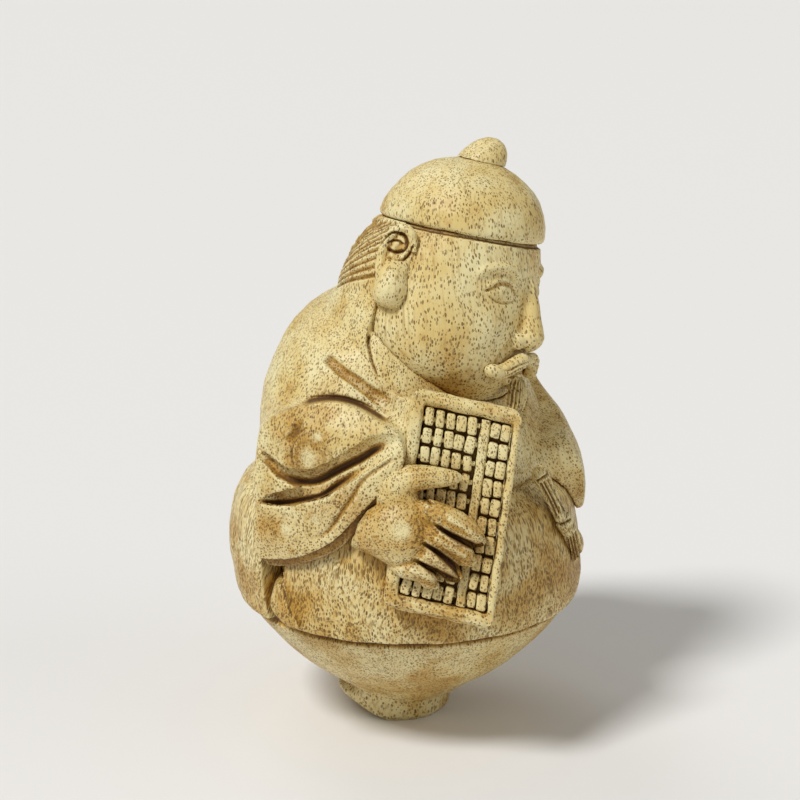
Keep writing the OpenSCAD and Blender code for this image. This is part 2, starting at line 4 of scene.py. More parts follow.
import bpy
import numpy as np
from mathutils import Matrix, Vector
from mathutils.bvhtree import BVHTree

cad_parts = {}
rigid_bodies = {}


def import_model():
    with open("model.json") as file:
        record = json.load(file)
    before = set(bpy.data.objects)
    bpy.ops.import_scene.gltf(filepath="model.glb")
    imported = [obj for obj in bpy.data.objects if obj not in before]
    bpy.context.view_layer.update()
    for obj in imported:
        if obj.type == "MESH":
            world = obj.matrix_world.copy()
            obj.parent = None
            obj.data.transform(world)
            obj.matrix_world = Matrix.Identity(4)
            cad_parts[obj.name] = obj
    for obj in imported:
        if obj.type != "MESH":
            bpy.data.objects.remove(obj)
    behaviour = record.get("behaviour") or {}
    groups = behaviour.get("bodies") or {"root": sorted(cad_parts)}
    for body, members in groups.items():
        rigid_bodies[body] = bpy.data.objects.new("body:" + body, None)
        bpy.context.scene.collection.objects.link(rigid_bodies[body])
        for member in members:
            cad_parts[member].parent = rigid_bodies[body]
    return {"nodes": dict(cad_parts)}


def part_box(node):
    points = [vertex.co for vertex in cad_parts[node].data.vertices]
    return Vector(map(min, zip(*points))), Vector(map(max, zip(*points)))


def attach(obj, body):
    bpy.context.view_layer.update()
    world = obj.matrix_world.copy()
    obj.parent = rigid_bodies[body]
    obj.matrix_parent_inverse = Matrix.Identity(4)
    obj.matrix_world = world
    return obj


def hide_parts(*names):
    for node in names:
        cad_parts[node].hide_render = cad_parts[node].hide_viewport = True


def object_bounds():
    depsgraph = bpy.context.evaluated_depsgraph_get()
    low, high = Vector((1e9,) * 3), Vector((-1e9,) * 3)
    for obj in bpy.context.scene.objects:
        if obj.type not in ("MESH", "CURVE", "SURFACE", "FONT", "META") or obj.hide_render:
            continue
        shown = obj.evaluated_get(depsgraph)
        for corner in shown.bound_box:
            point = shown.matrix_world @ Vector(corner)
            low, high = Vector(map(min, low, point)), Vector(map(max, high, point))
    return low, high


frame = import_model()
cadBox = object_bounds()
scene = bpy.context.scene
mm = 0.001
mirror = (-1, 1, 1)
print("frame loaded:", len(frame["nodes"]), "solids")

# where the photograph was taken from, millimetres and pixels of an 800 x 800 picture
photoView = {
    "target": (0, -0.8, 49.56), "azimuth": -60, "elevation": 15, "distance": 300,
    "focal": 1966.8, "middle": 400,
}


# direction towards an eye or a lamp
def wayTo(azimuth, elevation):
    a, e = math.radians(azimuth), math.radians(elevation)
    return Vector((math.sin(a) * math.cos(e), -math.cos(a) * math.cos(e), math.sin(e)))


def viewAxes():
    a = math.radians(photoView["azimuth"])
    back = wayTo(photoView["azimuth"], photoView["elevation"])
    right = Vector((math.cos(a), math.sin(a), 0))
    eye = (Vector(photoView["target"]) + back * photoView["distance"]) * mm
    return eye, right, back.cross(right), back


def sightLine(px, py):
    eye, right, up, back = viewAxes()
    m = photoView["middle"]
    ray = -back * photoView["focal"] + right * (px - m) + up * (m - py)
    return eye, ray.normalized()


def makeCamera():
    eye, right, up, back = viewAxes()
    data = bpy.data.cameras.new("photoCamera")
    data.sensor_width = 36
    data.lens = 36 * photoView["focal"] / (2 * photoView["middle"])
    data.clip_start, data.clip_end = 0.01, 20
    camera = bpy.data.objects.new("photoCamera", data)
    camera.matrix_world = Matrix((right, up, back)).transposed().to_4x4()
    camera.location = eye
    scene.collection.objects.link(camera)
    scene.camera = camera


def deselectAll():
    if bpy.context.object and bpy.context.object.mode != "OBJECT":
        bpy.ops.object.mode_set(mode="OBJECT")
    bpy.ops.object.select_all(action="DESELECT")


def makeActive(piece):
    deselectAll()
    piece.select_set(True)
    bpy.context.view_layer.objects.active = piece


def newMesh(operator, **settings):
    deselectAll()
    operator(**settings)
    return bpy.context.object


# one mesh operator on the whole of the active piece
def onWhole(operator, **settings):
    bpy.ops.object.mode_set(mode="EDIT")
    bpy.ops.mesh.select_all(action="SELECT")
    operator(**settings)
    bpy.ops.object.mode_set(mode="OBJECT")


def modify(piece, kind, **settings):
    makeActive(piece)
    change = piece.modifiers.new("change", kind)
    for name, value in settings.items():
        setattr(change, name, value)
    bpy.ops.object.modifier_apply(modifier="change")


# shader maths: a wrapped socket that takes + - * and power
class Wire:
    def __init__(self, tree, socket=None):
        self.tree, self.socket = tree, socket

    def node(self, kind, settings=None, sockets=None, out=0):
        made = self.tree.nodes.new(kind)
        for name, value in (settings or {}).items():
            setattr(made, name, value)
        for name, value in (sockets or {}).items():
            if isinstance(value, Wire):
                self.tree.links.new(value.socket, made.inputs[name])
            else:
                made.inputs[name].default_value = value
        return Wire(self.tree, made.outputs[out])

    def math(self, operation, *values):
        return self.node("ShaderNodeMath", {"operation": operation}, dict(enumerate(values)))

    def vector(self, operation, sockets, out=0):
        return self.node("ShaderNodeVectorMath", {"operation": operation}, sockets, out)

    def __add__(self, other): return self.math("ADD", self, other)
    def __radd__(self, other): return self.math("ADD", other, self)
    def __sub__(self, other): return self.math("SUBTRACT", self, other)
    def __rsub__(self, other): return self.math("SUBTRACT", other, self)
    def __mul__(self, other): return self.math("MULTIPLY", self, other)
    def __rmul__(self, other): return self.math("MULTIPLY", other, self)
    def __pow__(self, other): return self.math("POWER", self, other)

    def atMost(self, other): return self.math("MINIMUM", self, other)
    def atLeast(self, other): return self.math("MAXIMUM", self, other)
    def within(self, low, high): return self.atLeast(low).atMost(high)

    def ramp(self, low, high):
        return self.node("ShaderNodeMapRange", {"interpolation_type": "SMOOTHSTEP"},
                         {"Value": self, "From Min": low, "From Max": high})

    def blend(self, one, two):
        return self.node("ShaderNodeMix", {"data_type": "RGBA"}, {"Factor": self, 6: one, 7: two}, out=2)


# finish of the whole root: vessels that fan outwards as they run down, amber patina with painted shade in
# hollows, painted shade in the cuts, amber with painted shade lower down, pale worn edges
bambooLook = {
    "pale": (0.80, 0.71, 0.385, 1), "cream": (0.72, 0.56, 0.225, 1), "amber": (0.53, 0.30, 0.052, 1),
    # crease is painted shade for the floors of cuts; brown serves flecks, scar rings and the heaviest painted
    # shade with patina
    "brown": (0.22, 0.10, 0.018, 1), "dot": (0.145, 0.073, 0.011, 1), "crease": (0.08, 0.034, 0.010, 1),
    # below a level, amber rises downwards: partly the root's own tone, partly painted shade of light falling
    # off
    "dotSize": 0.135, "dotEdge": 0.055, "fan": 0.016, "lowTanAndShadeFrom": 58, "lowTanAndShadeRate": 0.0125, "lowTanAndShadeMost": 0.3,
    "sway": (0.16, 1.6), "noises": ((0.13, 3), (0.4, 2), (0.75, 1), (2.0, 3)), "threadLength": 0.05,
    "tanBroad": 0.36, "tanShadeAndPatina": 0.85, "tanPatchy": 0.25, "tanWorn": 0.4, "flecksPerDot": 1.5,
    "dotShare": 0.96, "fleckShare": 0.6, "brownShare": 0.85, "creaseShadeShare": 0.92, "paleShare": 0.6,
    "bump": {"Strength": 0.5, "Distance": 0.00009}, "rough": 0.45,
    "gloss": {"Specular IOR Level": 0.34, "Coat Weight": 0.04, "Coat Roughness": 0.35},
}


def bambooFinish(name, level, stretch, streak, pitch, age, scars=()):
    look = bambooLook
    material = bpy.data.materials.new(name)
    material.use_nodes = True
    tree = material.node_tree
    shader = tree.nodes["Principled BSDF"]
    wire = Wire(tree)
    place = wire.node("ShaderNodeTexCoord", out="Object")
    inMm = wire.vector("SCALE", {0: place, "Scale": 1 / mm})
    scale, most = look["sway"]
    sway = wire.node("ShaderNodeTexNoise", {}, {"Vector": inMm, "Scale": scale, "Detail": 2.0}, out="Color")
    sway = wire.vector("MULTIPLY_ADD", {0: sway, 1: (most, most, 0), 2: (-most / 2, -most / 2, 0)})
    bent = wire.vector("ADD", {0: inMm, 1: sway})
    split = wire.node("ShaderNodeSeparateXYZ", {}, {0: bent})
    x, y, z = (Wire(tree, split.socket.node.outputs[k]) for k in range(3))
    spread = 1 + (z - level) * look["fan"]
    across, inwards = x * spread, (y + 2) * spread
    vessels = wire.node("ShaderNodeCombineXYZ", {}, {0: across, 1: inwards, 2: z * stretch})
    fibres = wire.node("ShaderNodeCombineXYZ", {}, {0: across, 1: inwards, 2: z * look["threadLength"]})
    broad, patchy, along, thread = (
        wire.node("ShaderNodeTexNoise", {}, {"Vector": over, "Scale": scale, "Detail": detail})
        for over, (scale, detail) in zip((inMm, inMm, inMm, fibres), look["noises"]))
    # the first attribute holds painted shade of crowded places and hollows mixed with amber patina, the
    # second painted shade inside the cuts
    shadeAndPatina, cutShade, worn = (wire.node("ShaderNodeAttribute", {"attribute_name": kind}, {}, out="Fac")
                          for kind in ("shadeAndPatina", "cutShade", "worn"))
    worn = worn * (patchy * 1.2 + 0.3)
    tan = broad.ramp(0.46, 0.68) * look["tanBroad"] + shadeAndPatina * look["tanShadeAndPatina"]
    tan = tan + patchy.ramp(0.5, 0.72) * look["tanPatchy"] - worn * look["tanWorn"]
    # amber rising lower down: partly the root's own tone, partly painted shade of light falling off towards
    # the bottom
    tan = tan + ((look["lowTanAndShadeFrom"] - z) * look["lowTanAndShadeRate"]).within(0.0, look["lowTanAndShadeMost"]) + age
    tan = tan.within(0.0, 1.0)

    # vessels, each with its own size and darkness, and finer flecks between them where the wood is amber
    cells = {"Vector": vessels, "Scale": 1 / pitch, "Randomness": 0.9}
    vessel = wire.node("ShaderNodeTexVoronoi", {}, cells, out="Distance")
    chance = wire.node("ShaderNodeSeparateColor", {}, {0: Wire(tree, vessel.socket.node.outputs["Color"])})
    deep = Wire(tree, chance.socket.node.outputs[1])
    fine = {"Vector": vessels, "Scale": look["flecksPerDot"] / pitch, "Randomness": 1.0}
    fleck = wire.node("ShaderNodeTexVoronoi", {}, fine, out="Distance")
    size = (chance * 0.7 + 0.6) * (look["dotSize"] / pitch) + tan * 0.1 + (along - 0.5) * 0.2
    dots = (size - vessel).ramp(0.0, look["dotEdge"] / pitch) * (deep * 0.45 + 0.55)
    flecks = (0.3 + tan * 0.12 - fleck).ramp(0.0, 0.16) * tan.ramp(0.15, 0.7)

    ground = broad.ramp(0.32, 0.62).blend(look["pale"], look["cream"])
    ground = tan.ramp(0.1, 1.0).blend(ground, look["amber"])
    ground = ((thread - 0.46) * (2.6 * streak)).within(0.0, 0.75).blend(ground, look["amber"])
    ground = ((thread - 0.57) * (4.0 * streak)).within(0.0, 0.6).blend(ground, look["dot"])
    ground = (worn * look["paleShare"]).atMost(0.8).blend(ground, look["pale"])
    speck = dots * look["dotShare"]
    for spot, axis, radius, ringed in scars:
        away = wire.vector("SUBTRACT", {0: inMm, 1: tuple(spot)})
        depth = wire.vector("DOT_PRODUCT", {0: away, 1: tuple(axis)}, out="Value")
        reach = wire.vector("LENGTH", {0: away}, out="Value")
        off = (reach * reach - depth * depth).atLeast(0.0) ** 0.5 + (patchy - 0.5) * (radius * 0.5)
        near = 1 - reach.ramp(radius * 2, radius * 3)
        eye = (1 - off.ramp(radius * 0.15, radius * 0.8)) * near
        ground = (eye * 0.8).blend(ground, look["pale"])
        if ringed:
            wave = wire.math("SINE", off * (7.5 / radius) * 2.2) * 0.5 + 0.5
            inner, outer = off.ramp(radius * 0.55, radius * 0.95), off.ramp(radius * 1.05, radius * 1.6)
            ground = (wave * inner * (1 - outer) * near * ringed).blend(ground, look["brown"])
        speck = speck * (1 - eye * 0.65)

    colour = speck.blend(ground, look["dot"])
    colour = (flecks * look["fleckShare"]).blend(colour, look["brown"])
    # heavy painted shade with patina turns brown
    heavyShadeAndPatina = (shadeAndPatina + (patchy - 0.5) * 0.4).ramp(0.85, 1.6)
    colour = (heavyShadeAndPatina * look["brownShare"]).blend(colour, look["brown"])
    # painted shade: the floors of the cuts go near black, as the shade inside the grooves
    colour = (cutShade.ramp(0.15, 0.95) * look["creaseShadeShare"]).blend(colour, look["crease"])
    tree.links.new(colour.socket, shader.inputs["Base Color"])
    rough = look["rough"] + dots * 0.15 + shadeAndPatina * 0.1 + (thread - 0.5) * 0.14
    tree.links.new(rough.socket, shader.inputs["Roughness"])
    height = thread * (0.4 + 0.5 * streak) - dots * 0.8 - flecks * 0.35 + along * 0.2
    bump = wire.node("ShaderNodeBump", {}, {"Height": height, **look["bump"]})
    tree.links.new(bump.socket, shader.inputs["Normal"])
    for socket, value in look["gloss"].items():
        shader.inputs[socket].default_value = value
    return material


# carving: a copy of the solids gets an even skin of some grain and softness, which strokes then cut or raise
pieces = []


def joinAll(objects):
    deselectAll()
    for one in objects:
        one.select_set(True)
    bpy.context.view_layer.objects.active = objects[0]
    if len(objects) > 1:
        bpy.ops.object.join()
    return bpy.context.view_layer.objects.active


def blankFrom(name, nodes):
    copies = []
    for node in nodes:
        copy = frame["nodes"][node].copy()
        copy.data = copy.data.copy()
        copy.parent = None
        for key in list(copy.keys()):
            del copy[key]
        copy.data.materials.clear()
        scene.collection.objects.link(copy)
        copies.append(copy)
    piece = joinAll(copies)
    piece.name = piece.data.name = name
    onWhole(bpy.ops.mesh.remove_doubles, threshold=2e-6)
    return piece


def evenSkin(piece, grain, soften):
    modify(piece, "REMESH", mode="VOXEL", voxel_size=grain * mm)
    modify(piece, "SMOOTH", factor=0.5, iterations=soften)


def startPiece(name, nodes, skin, *extras):
    piece = blankFrom(name, nodes)
    for extra in extras:
        joinAll([piece, extra])
    evenSkin(piece, *skin)
    return piece


# fewer triangles where the skin is plain
def thin(piece, most):
    triangles = int((readOut(piece.data.polygons, "loop_total", 1, np.int32) - 2).sum())
    if triangles > most:
        modify(piece, "DECIMATE", ratio=most / triangles)


def register(piece, nodes, finish, most=None):
    if most:
        thin(piece, most)
    makeActive(piece)
    bpy.ops.object.shade_smooth()
    piece.data.materials.clear()
    piece.data.materials.append(finish)
    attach(piece, "root")
    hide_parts(*nodes)
    pieces.append(piece)
    print("  ", piece.name, len(piece.data.polygons), "faces")


def readOut(source, name, width, kind=np.float32):
    values = np.empty(len(source) * width, kind)
    source.foreach_get(name, values)
    return values.reshape(-1, width) if width > 1 else values


def pointsOf(piece):
    return readOut(piece.data.vertices, "co", 3).astype(np.float64) / mm


def normalsOf(piece):
    return readOut(piece.data.vertex_normals, "vector", 3).astype(np.float64)


def setPoints(piece, co):
    piece.data.vertices.foreach_set("co", (co * mm).astype(np.float32).ravel())
    piece.data.update()


def layerOf(piece, kind):
    return piece.data.attributes.get(kind) or piece.data.attributes.new(kind, "FLOAT", "POINT")


def cutShadeOf(piece):
    return readOut(layerOf(piece, "cutShade").data, "value", 1)


def setLayer(piece, kind, values):
    layerOf(piece, kind).data.foreach_set("value", values.astype(np.float32))


def smoothPath(keys, spacing):
    keys = [np.array(k, float) for k in keys]
    path = []
    for i in range(len(keys) - 1):
        p0, p1, p2, p3 = keys[max(i - 1, 0)], keys[i], keys[i + 1], keys[min(i + 2, len(keys) - 1)]
        steps = max(2, int(np.linalg.norm(p2 - p1) / spacing))
        for s in range(steps):
            t = s / steps
            path.append(0.5 * (2 * p1 + (p2 - p0) * t + (2 * p0 - 5 * p1 + 4 * p2 - p3) * t * t
                               + (3 * p1 - p0 - 3 * p2 + p3) * t ** 3))
    path.append(keys[-1])
    return np.array(path)


def skinTree(piece):
    return BVHTree.FromObject(piece, bpy.context.evaluated_depsgraph_get())


# a stroke drawn on the photograph, laid on the piece where each sight line meets it
def fromPhoto(tree, keys, spacing=3.0):
    found, depth = [], None
    for px, py in smoothPath(keys, spacing):
        eye, ray = sightLine(px, py)
        hit, normal, index, away = tree.ray_cast(eye, ray)
        if hit is None:
            if depth is None:
                continue
            hit = tree.find_nearest(eye + ray * depth)[0]
        else:
            depth = away
        found.append(np.array(hit) / mm)
    return np.array(found)


def sightAim(keys):
    rays = [np.array(sightLine(px, py)[1]) for px, py in keys]
    return np.mean(rays, axis=0) / np.linalg.norm(np.mean(rays, axis=0))


# where rays from outside a piece meet it
def castAll(tree, starts, way):
    hits = [tree.ray_cast(Vector(p) * mm, Vector(way))[0] for p in starts]
    return np.array([np.array(hit) / mm for hit in hits if hit is not None])


def nearestOn(tree, points):
    return np.array([np.array(tree.find_nearest(Vector(p) * mm)[0]) / mm for p in points])


def onSkin(tree, keys, spacing=0.5):
    return nearestOn(tree, smoothPath(keys, spacing))


def ringOf(radius, shift, height, count):
    turns = np.linspace(0, 2 * math.pi, count)
    return [(radius * math.cos(a), shift + radius * math.sin(a), height) for a in turns]


def nearPath(co, path):
    best = np.full(len(co), 1e9)
    along, index = np.zeros(len(co)), np.zeros(len(co), int)
    count = len(path) - 1
    for k in range(count):
        a, ab = path[k], path[k + 1] - path[k]
        t = np.clip((co - a) @ ab / max(ab @ ab, 1e-9), 0, 1)
        d = np.linalg.norm(co - a - t[:, None] * ab, axis=1)
        closer = d < best
        best[closer] = d[closer]
        along[closer] = (k + t[closer]) / count
        index[closer] = k
    return best, along, index


def smoothStep(v):
    v = np.clip(v, 0, 1)
    return v * v * (3 - 2 * v)


knifeReach = 3.5  # how far before or behind the path a knife with an aim still cuts


# a cut along a path, or a ridge if depth is negative; grow widens it towards its end; with aim it goes in
# that way, as a knife held from there, and with spare it runs out where the skin turns away from the knife
def carve(piece, path, width, depth, edge, fade, paintedShade, aim=None, grow=1.0, spare=0):
    if len(path) < 2:
        return
    co, no, cutShade = pointsOf(piece), normalsOf(piece), cutShadeOf(piece)
    reach = width * max(grow, 1) * 1.05
    span = reach if aim is None else reach + knifeReach
    ids = np.nonzero(np.all((co > path.min(0) - span) & (co < path.max(0) + span), axis=1))[0]
    if aim is None:
        best, along, index = nearPath(co[ids], path)
        close = best < reach
    else:
        seen, drawn = co[ids] - np.outer(co[ids] @ aim, aim), path - np.outer(path @ aim, aim)
        best, along, index = nearPath(seen, drawn)
        gap = co[ids] @ aim - (path @ aim)[index]
        close = (best < reach) & (np.abs(gap) < knifeReach) & (no[ids] @ aim < 0.25)
    ids, best, along, index = ids[close], best[close], along[close], index[close]
    if not len(ids):
        return
    count = len(path) - 1
    facing = np.zeros((count, 3))
    np.add.at(facing, index, no[ids] * np.exp(-(best / width) ** 2)[:, None])
    order = np.arange(count)[:, None]
    for _ in range(4):
        before, after = np.roll(facing, 1, 0) * (order > 0), np.roll(facing, -1, 0) * (order < count - 1)
        facing = facing + 0.5 * (before + after)
    facing /= np.linalg.norm(facing, axis=1)[:, None] + 1e-9
    if aim is not None:
        facing[:] = -aim
    r = best / (width * (1 + (grow - 1) * along))
    inner = np.clip(1 - r, 0, 1)
    shape = {"round": np.clip(1 - r * r, 0, 1) ** 1.5, "vee": inner, "soft": smoothStep(inner),
             "flat": smoothStep(inner * 2.2)}[edge]
    taper = smoothStep(along / max(fade[0], 1e-6)) * smoothStep((1 - along) / max(fade[1], 1e-6))
    if spare:
        taper = taper * smoothStep(-(no[ids] @ aim) / spare)
    co[ids] -= facing[index] * (depth * shape * taper)[:, None]
    # the cut's floor is painted dark in proportion to its shape, as painted shade
    if paintedShade and depth > 0:
        cutShade[ids] = np.maximum(cutShade[ids], paintedShade * np.clip(shape * taper, 0, 1) ** 1.6)
        setLayer(piece, "cutShade", cutShade)
    setPoints(piece, co)


# a soft swelling or dent: centre, half sizes along three directions, height
def swell(piece, centre, axes, height):
    co, no = pointsOf(piece), normalsOf(piece)
    off = (co - centre) @ np.linalg.inv(np.array(axes, float))
    r = np.sqrt((off ** 2).sum(1))
    ids = np.nonzero(r < 1)[0]
    if not len(ids):
        return
    facing = (no[ids] * (1 - r[ids])[:, None]).sum(0)
    facing /= np.linalg.norm(facing)
    co[ids] += facing * (height * smoothStep(1 - r[ids]))[:, None]
    setPoints(piece, co)


def edgesOf(piece):
    return readOut(piece.data.edges, "vertices", 2, np.int32)


def spreadOut(values, edges, rounds):
    count = len(values)
    degree = np.bincount(edges.ravel(), minlength=count) + 1e-9
    for _ in range(rounds):
        total = np.bincount(edges[:, 0], values[edges[:, 1]], count)
        total += np.bincount(edges[:, 1], values[edges[:, 0]], count)
        values = 0.5 * values + 0.5 * total / degree
    return values


# two forms run together round a place
def ease(piece, centre, reach, rounds):
    co, edges = pointsOf(piece), edgesOf(piece)
    even = np.stack([spreadOut(co[:, k], edges, rounds) for k in range(3)], 1)
    weight = smoothStep((1 - np.linalg.norm((co - centre) / reach, axis=1)) * 2)
    setPoints(piece, co + (even - co) * weight[:, None])


# only the body that holds the highest point
def keepMain(piece):
    makeActive(piece)
    bpy.ops.object.mode_set(mode="EDIT")
    bpy.ops.mesh.select_mode(type="VERT")
    bpy.ops.mesh.select_all(action="DESELECT")
    bpy.ops.object.mode_set(mode="OBJECT")
    piece.data.vertices[int(pointsOf(piece)[:, 2].argmax())].select = True
    bpy.ops.object.mode_set(mode="EDIT")
    bpy.ops.mesh.select_linked()
    bpy.ops.mesh.select_all(action="INVERT")
    bpy.ops.mesh.delete(type="VERT")
    bpy.ops.object.mode_set(mode="OBJECT")


# slow unevenness left by the knife
def handWork(piece, height, length, seed):
    co, no = pointsOf(piece), normalsOf(piece)
    turn = np.random.default_rng(seed)
    wave = np.zeros(len(co))
    for _ in range(7):
        way = turn.normal(size=3)
        way *= turn.uniform(0.7, 1.5) * 2 * math.pi / (length * np.linalg.norm(way))
        wave += np.sin(co @ way + turn.uniform(0, 6.3))
    setPoints(piece, co - no * (height * np.clip(wave / 4 + 0.5, 0, 1))[:, None])


# frames of the head and of the abacus, as the solids have them
def turned(origin, *turns):
    matrix = Matrix.Translation(Vector(origin))
    for degrees, axis in turns:
        matrix = matrix @ Matrix.Rotation(math.radians(degrees), 4, axis)
    return np.array(matrix)


headPlace = turned((-0.85, -9.1, 62.7), (6, "X"), (10.8, "Y"))
abacusPlace = turned((-19, -20.3, 40.8), (-62, "Z"), (-12, "X"), (7.5, "Y"))


def outOf(place, points):
    return np.atleast_2d(np.array(points, float)) @ place[:3, :3].T + place[:3, 3]


def into(place, points):
    return (points - place[:3, 3]) @ place[:3, :3]


def atHead(points): return outOf(headPlace, points)
def atAbacus(points): return outOf(abacusPlace, points)
def inHead(points): return into(headPlace, points)
def inAbacus(points): return into(abacusPlace, points)


# a round or square lump of the given half sizes, in a frame of its own
def makeLump(rounded, centre, halves, place):
    if rounded:
        lump = newMesh(bpy.ops.mesh.primitive_uv_sphere_add, segments=32, ring_count=20, radius=mm)
    else:
        lump = newMesh(bpy.ops.mesh.primitive_cube_add, size=2 * mm)
    setPoints(lump, outOf(place, pointsOf(lump) * halves + centre))
    return lump


# rootlet scars: the solid they are on, then pixel of the middle, radius and strength of the rings
scarLook = {
    "Jacket": ("right_sleeve", (((309, 459), 2.7, 0.45), ((318, 437), 1.4, 0), ((285, 530), 1.7, 0),
        ((315, 519), 1.5, 0))),
    "Hand": ("right_hand", (((403, 532), 2.6, 0.12),)),
}

# finishes: level that the vessels fan from, flattening of the dots, streaks, spacing of the dots, age
finishLook = {
    "Robe": (26, 0.22, 1.2, 0.28, -0.04), "Underside": (14, 0.4, 0.6, 0.33, 0.0),
    "Jacket": (46, 0.7, 0.42, 0.305, 0.0), "Hand": (40, 0.9, 0.15, 0.31, 0.1),
    "Abacus": (40, 0.7, 0.35, 0.32, 0.0), "Head": (66, 0.45, 0.55, 0.33, -0.1),
}


def scarsOn(node, spots):
    tree = skinTree(frame["nodes"][node])
    found = []
    for (px, py), radius, ringed in spots:
        hit, normal, index, away = tree.ray_cast(*sightLine(px, py))
        if hit is not None:
            found.append((tuple(c / mm for c in hit), tuple(normal), radius, ringed))
    return found


makeCamera()
robeFinish, bowlFinish, jacketFinish, handFinish, frameFinish, headFinish = (
    bambooFinish("bamboo" + name, *values, scarsOn(*scarLook[name]) if name in scarLook else ())
    for name, values in finishLook.items())
print("finishes ready")

# plain stub and bowl below the hem, cut from one piece of root
underLook = {
    "skin": (0.42, 5), "handWork": (0.14, 9, 4), "neck": 6.0, "neckHeight": 4.0,
    "hem": (25.6, -2.3, 20.0, 120), "hemCut": (1.0, 0.8, "soft", (0, 0), 0.8), "sole": 0.3,
    "most": 80000,
}


def makeUnderside():
    nodes = ["foot", "lower_bowl"]
    neck = newMesh(bpy.ops.mesh.primitive_cylinder_add, radius=underLook["neck"] * mm, depth=2 * mm,
                   location=(0, -1 * mm, underLook["neckHeight"] * mm))
    under = startPiece("rootUnderside", nodes, underLook["skin"], neck)
    handWork(under, *underLook["handWork"])
    # a shallow cut round the bowl just under the hem, painted dark as the hem's shade
    carve(under, onSkin(skinTree(under), ringOf(*underLook["hem"]), 1.5), *underLook["hemCut"])
    co = pointsOf(under)
    co[:, 2] = np.where(co[:, 2] < underLook["sole"], 0, co[:, 2])
    setPoints(under, co)
    register(under, nodes, bowlFinish, underLook["most"])


# robe: a panel in front with its vent folds, and one behind
robeLook = {
    "skin": (0.27, 3), "handWork": (0.16, 8), "most": 120000,
    "ventCrease": [(279, 579), (284, 593), (290, 607), (295, 619)],
    "creaseCut": (0.4, 0.5, "vee", (0.1, 0.2), 0.9),
}


def makeRobe():
    front, back = ["robe_front", "right_vent_fold", "left_vent_fold"], ["robe_back"]
    for name, nodes, seed in (("robeFront", front, 5), ("robeBack", back, 6)):
        panel = startPiece(name, nodes, robeLook["skin"])
        handWork(panel, *robeLook["handWork"], seed)
        if nodes is front:
            crease = fromPhoto(skinTree(panel), robeLook["ventCrease"])
            for path in (crease, onSkin(skinTree(panel), crease * mirror)):
                carve(panel, path, *robeLook["creaseCut"])
        register(panel, nodes, robeFinish, robeLook["most"])


# lines of the right sleeve and shoulder, as pixels of the photograph; each stroke has its width, growth,
# depth, edge, fade at both ends, painted shade in the cut and how far it spares skin that turns away
sleeveLook = {
    "skin": (0.26, 4), "lining": (0.2, 2), "handWork": (0.12, 8, 7), "most": 190000,
    "shoulderGouge": [(325.8, 356.8), (339.7, 369.8), (354.5, 380), (369.3, 391), (382, 401),
        (391.5, 409.5)],
    "archFold": [(299, 406.5), (308, 401.5), (321, 399), (334, 398.5), (347, 400.5), (360, 405), (373, 412),
        (386, 420), (400, 425.5)],
    "elbowCurl": [(301.8, 416), (298, 424), (293.5, 433.6), (288, 441), (284, 443)],
    "elbowRing": [(311, 430), (304.6, 428), (297, 435.5), (292.5, 444.7), (291, 455.8), (293.5, 467),
        (297, 471.5)],
    "deepFold": [(259, 437), (264, 450), (270, 462), (275.5, 470.5), (282, 476), (291.5, 480), (302, 482),
        (314, 481.5), (324, 478), (335, 471.5), (348.5, 464.5), (362, 458), (373, 451),
        (384.5, 445.5), (396, 444.5)],
    "lowFold": [(257.4, 501), (271, 502.5), (285, 502.5), (301, 500), (316, 497.5), (324, 495),
        (331.5, 489.5), (343, 481.5), (354, 475), (363.5, 468.5), (374, 461)],
    "hemBand": [(300, 541), (314, 538), (325.8, 533.5), (336, 520.5), (345, 507.6), (352.7, 496.5),
        (358, 487), (365.6, 478), (378.6, 468.8), (397, 457.7)],
    "collarCrease": [(369.5, 333.5), (368.5, 345), (370.5, 358.5), (375, 372), (378, 384.5)],
    "strokes": (("shoulderGouge", 0.85, 1.5, 0.8, "flat", (0.05, 0.3), 0.3, 0),
        ("archFold", 0.65, 1, 1.3, "round", (0.12, 0.25), 1.0, 0.15),
        ("elbowCurl", 1.0, 1, 0.8, "soft", (0.3, 0.3), 0.42, 0),
        ("elbowRing", 0.28, 1, 0.4, "vee", (0.2, 0.2), 1.0, 0),
        ("deepFold", 0.8, 1, 1.4, "round", (0.45, 0.14), 1.0, 0.3),
        ("lowFold", 0.55, 1, 1.1, "round", (0.06, 0.4), 0.95, 0.4),
        ("hemBand", 0.5, 1, 0.45, "round", (0.3, 0.12), 0.45, 0),
        ("collarCrease", 0.45, 0.6, 0.8, "vee", (0.06, 0.3), 1.0, 0)),
    # the mirrored strokes are cut shallower and get lighter painted shade
    "rightOnly": ("elbowRing",), "farDepth": 0.75, "farShade": 0.8,
    "rolls": (((261, 452), 0.5, 2.8, 70), ((261, 452), 4.0, 4.5, 160), ((257, 503), 3.0, 3.2, 120)),
    "foldEnd": ((25.3, 6.5, 40.2), (1.7, 2.2, 1.5)),
    "rampFoot": ((-12.0, 1.6), (-7.3, -1.7), (-7.0, 2.5), (-11, 4.5), 5.0),
    "rampHead": ((-11.4, 2.9), (-7.5, -1.2), (-7.0, 2.8), (-10.6, 4.5), 14.6),
    "rampEase": ((-9.4, -0.4, 10.5), (4.2, 4.2, 7.5), 60),
}


# the cloth rises to the inner rail of the abacus, and the rail grows out of it
def makeRamp():
    ramp = newMesh(bpy.ops.mesh.primitive_cube_add, size=2 * mm)
    local = pointsOf(ramp)
    for corner in local:
        *ring, level = sleeveLook["rampHead" if corner[2] > 0 else "rampFoot"]
        side = (0 if corner[1] < 0 else 3) if corner[0] < 0 else (1 if corner[1] < 0 else 2)
        corner[:] = (*ring[side], level)
    setPoints(ramp, atAbacus(local))
    return ramp


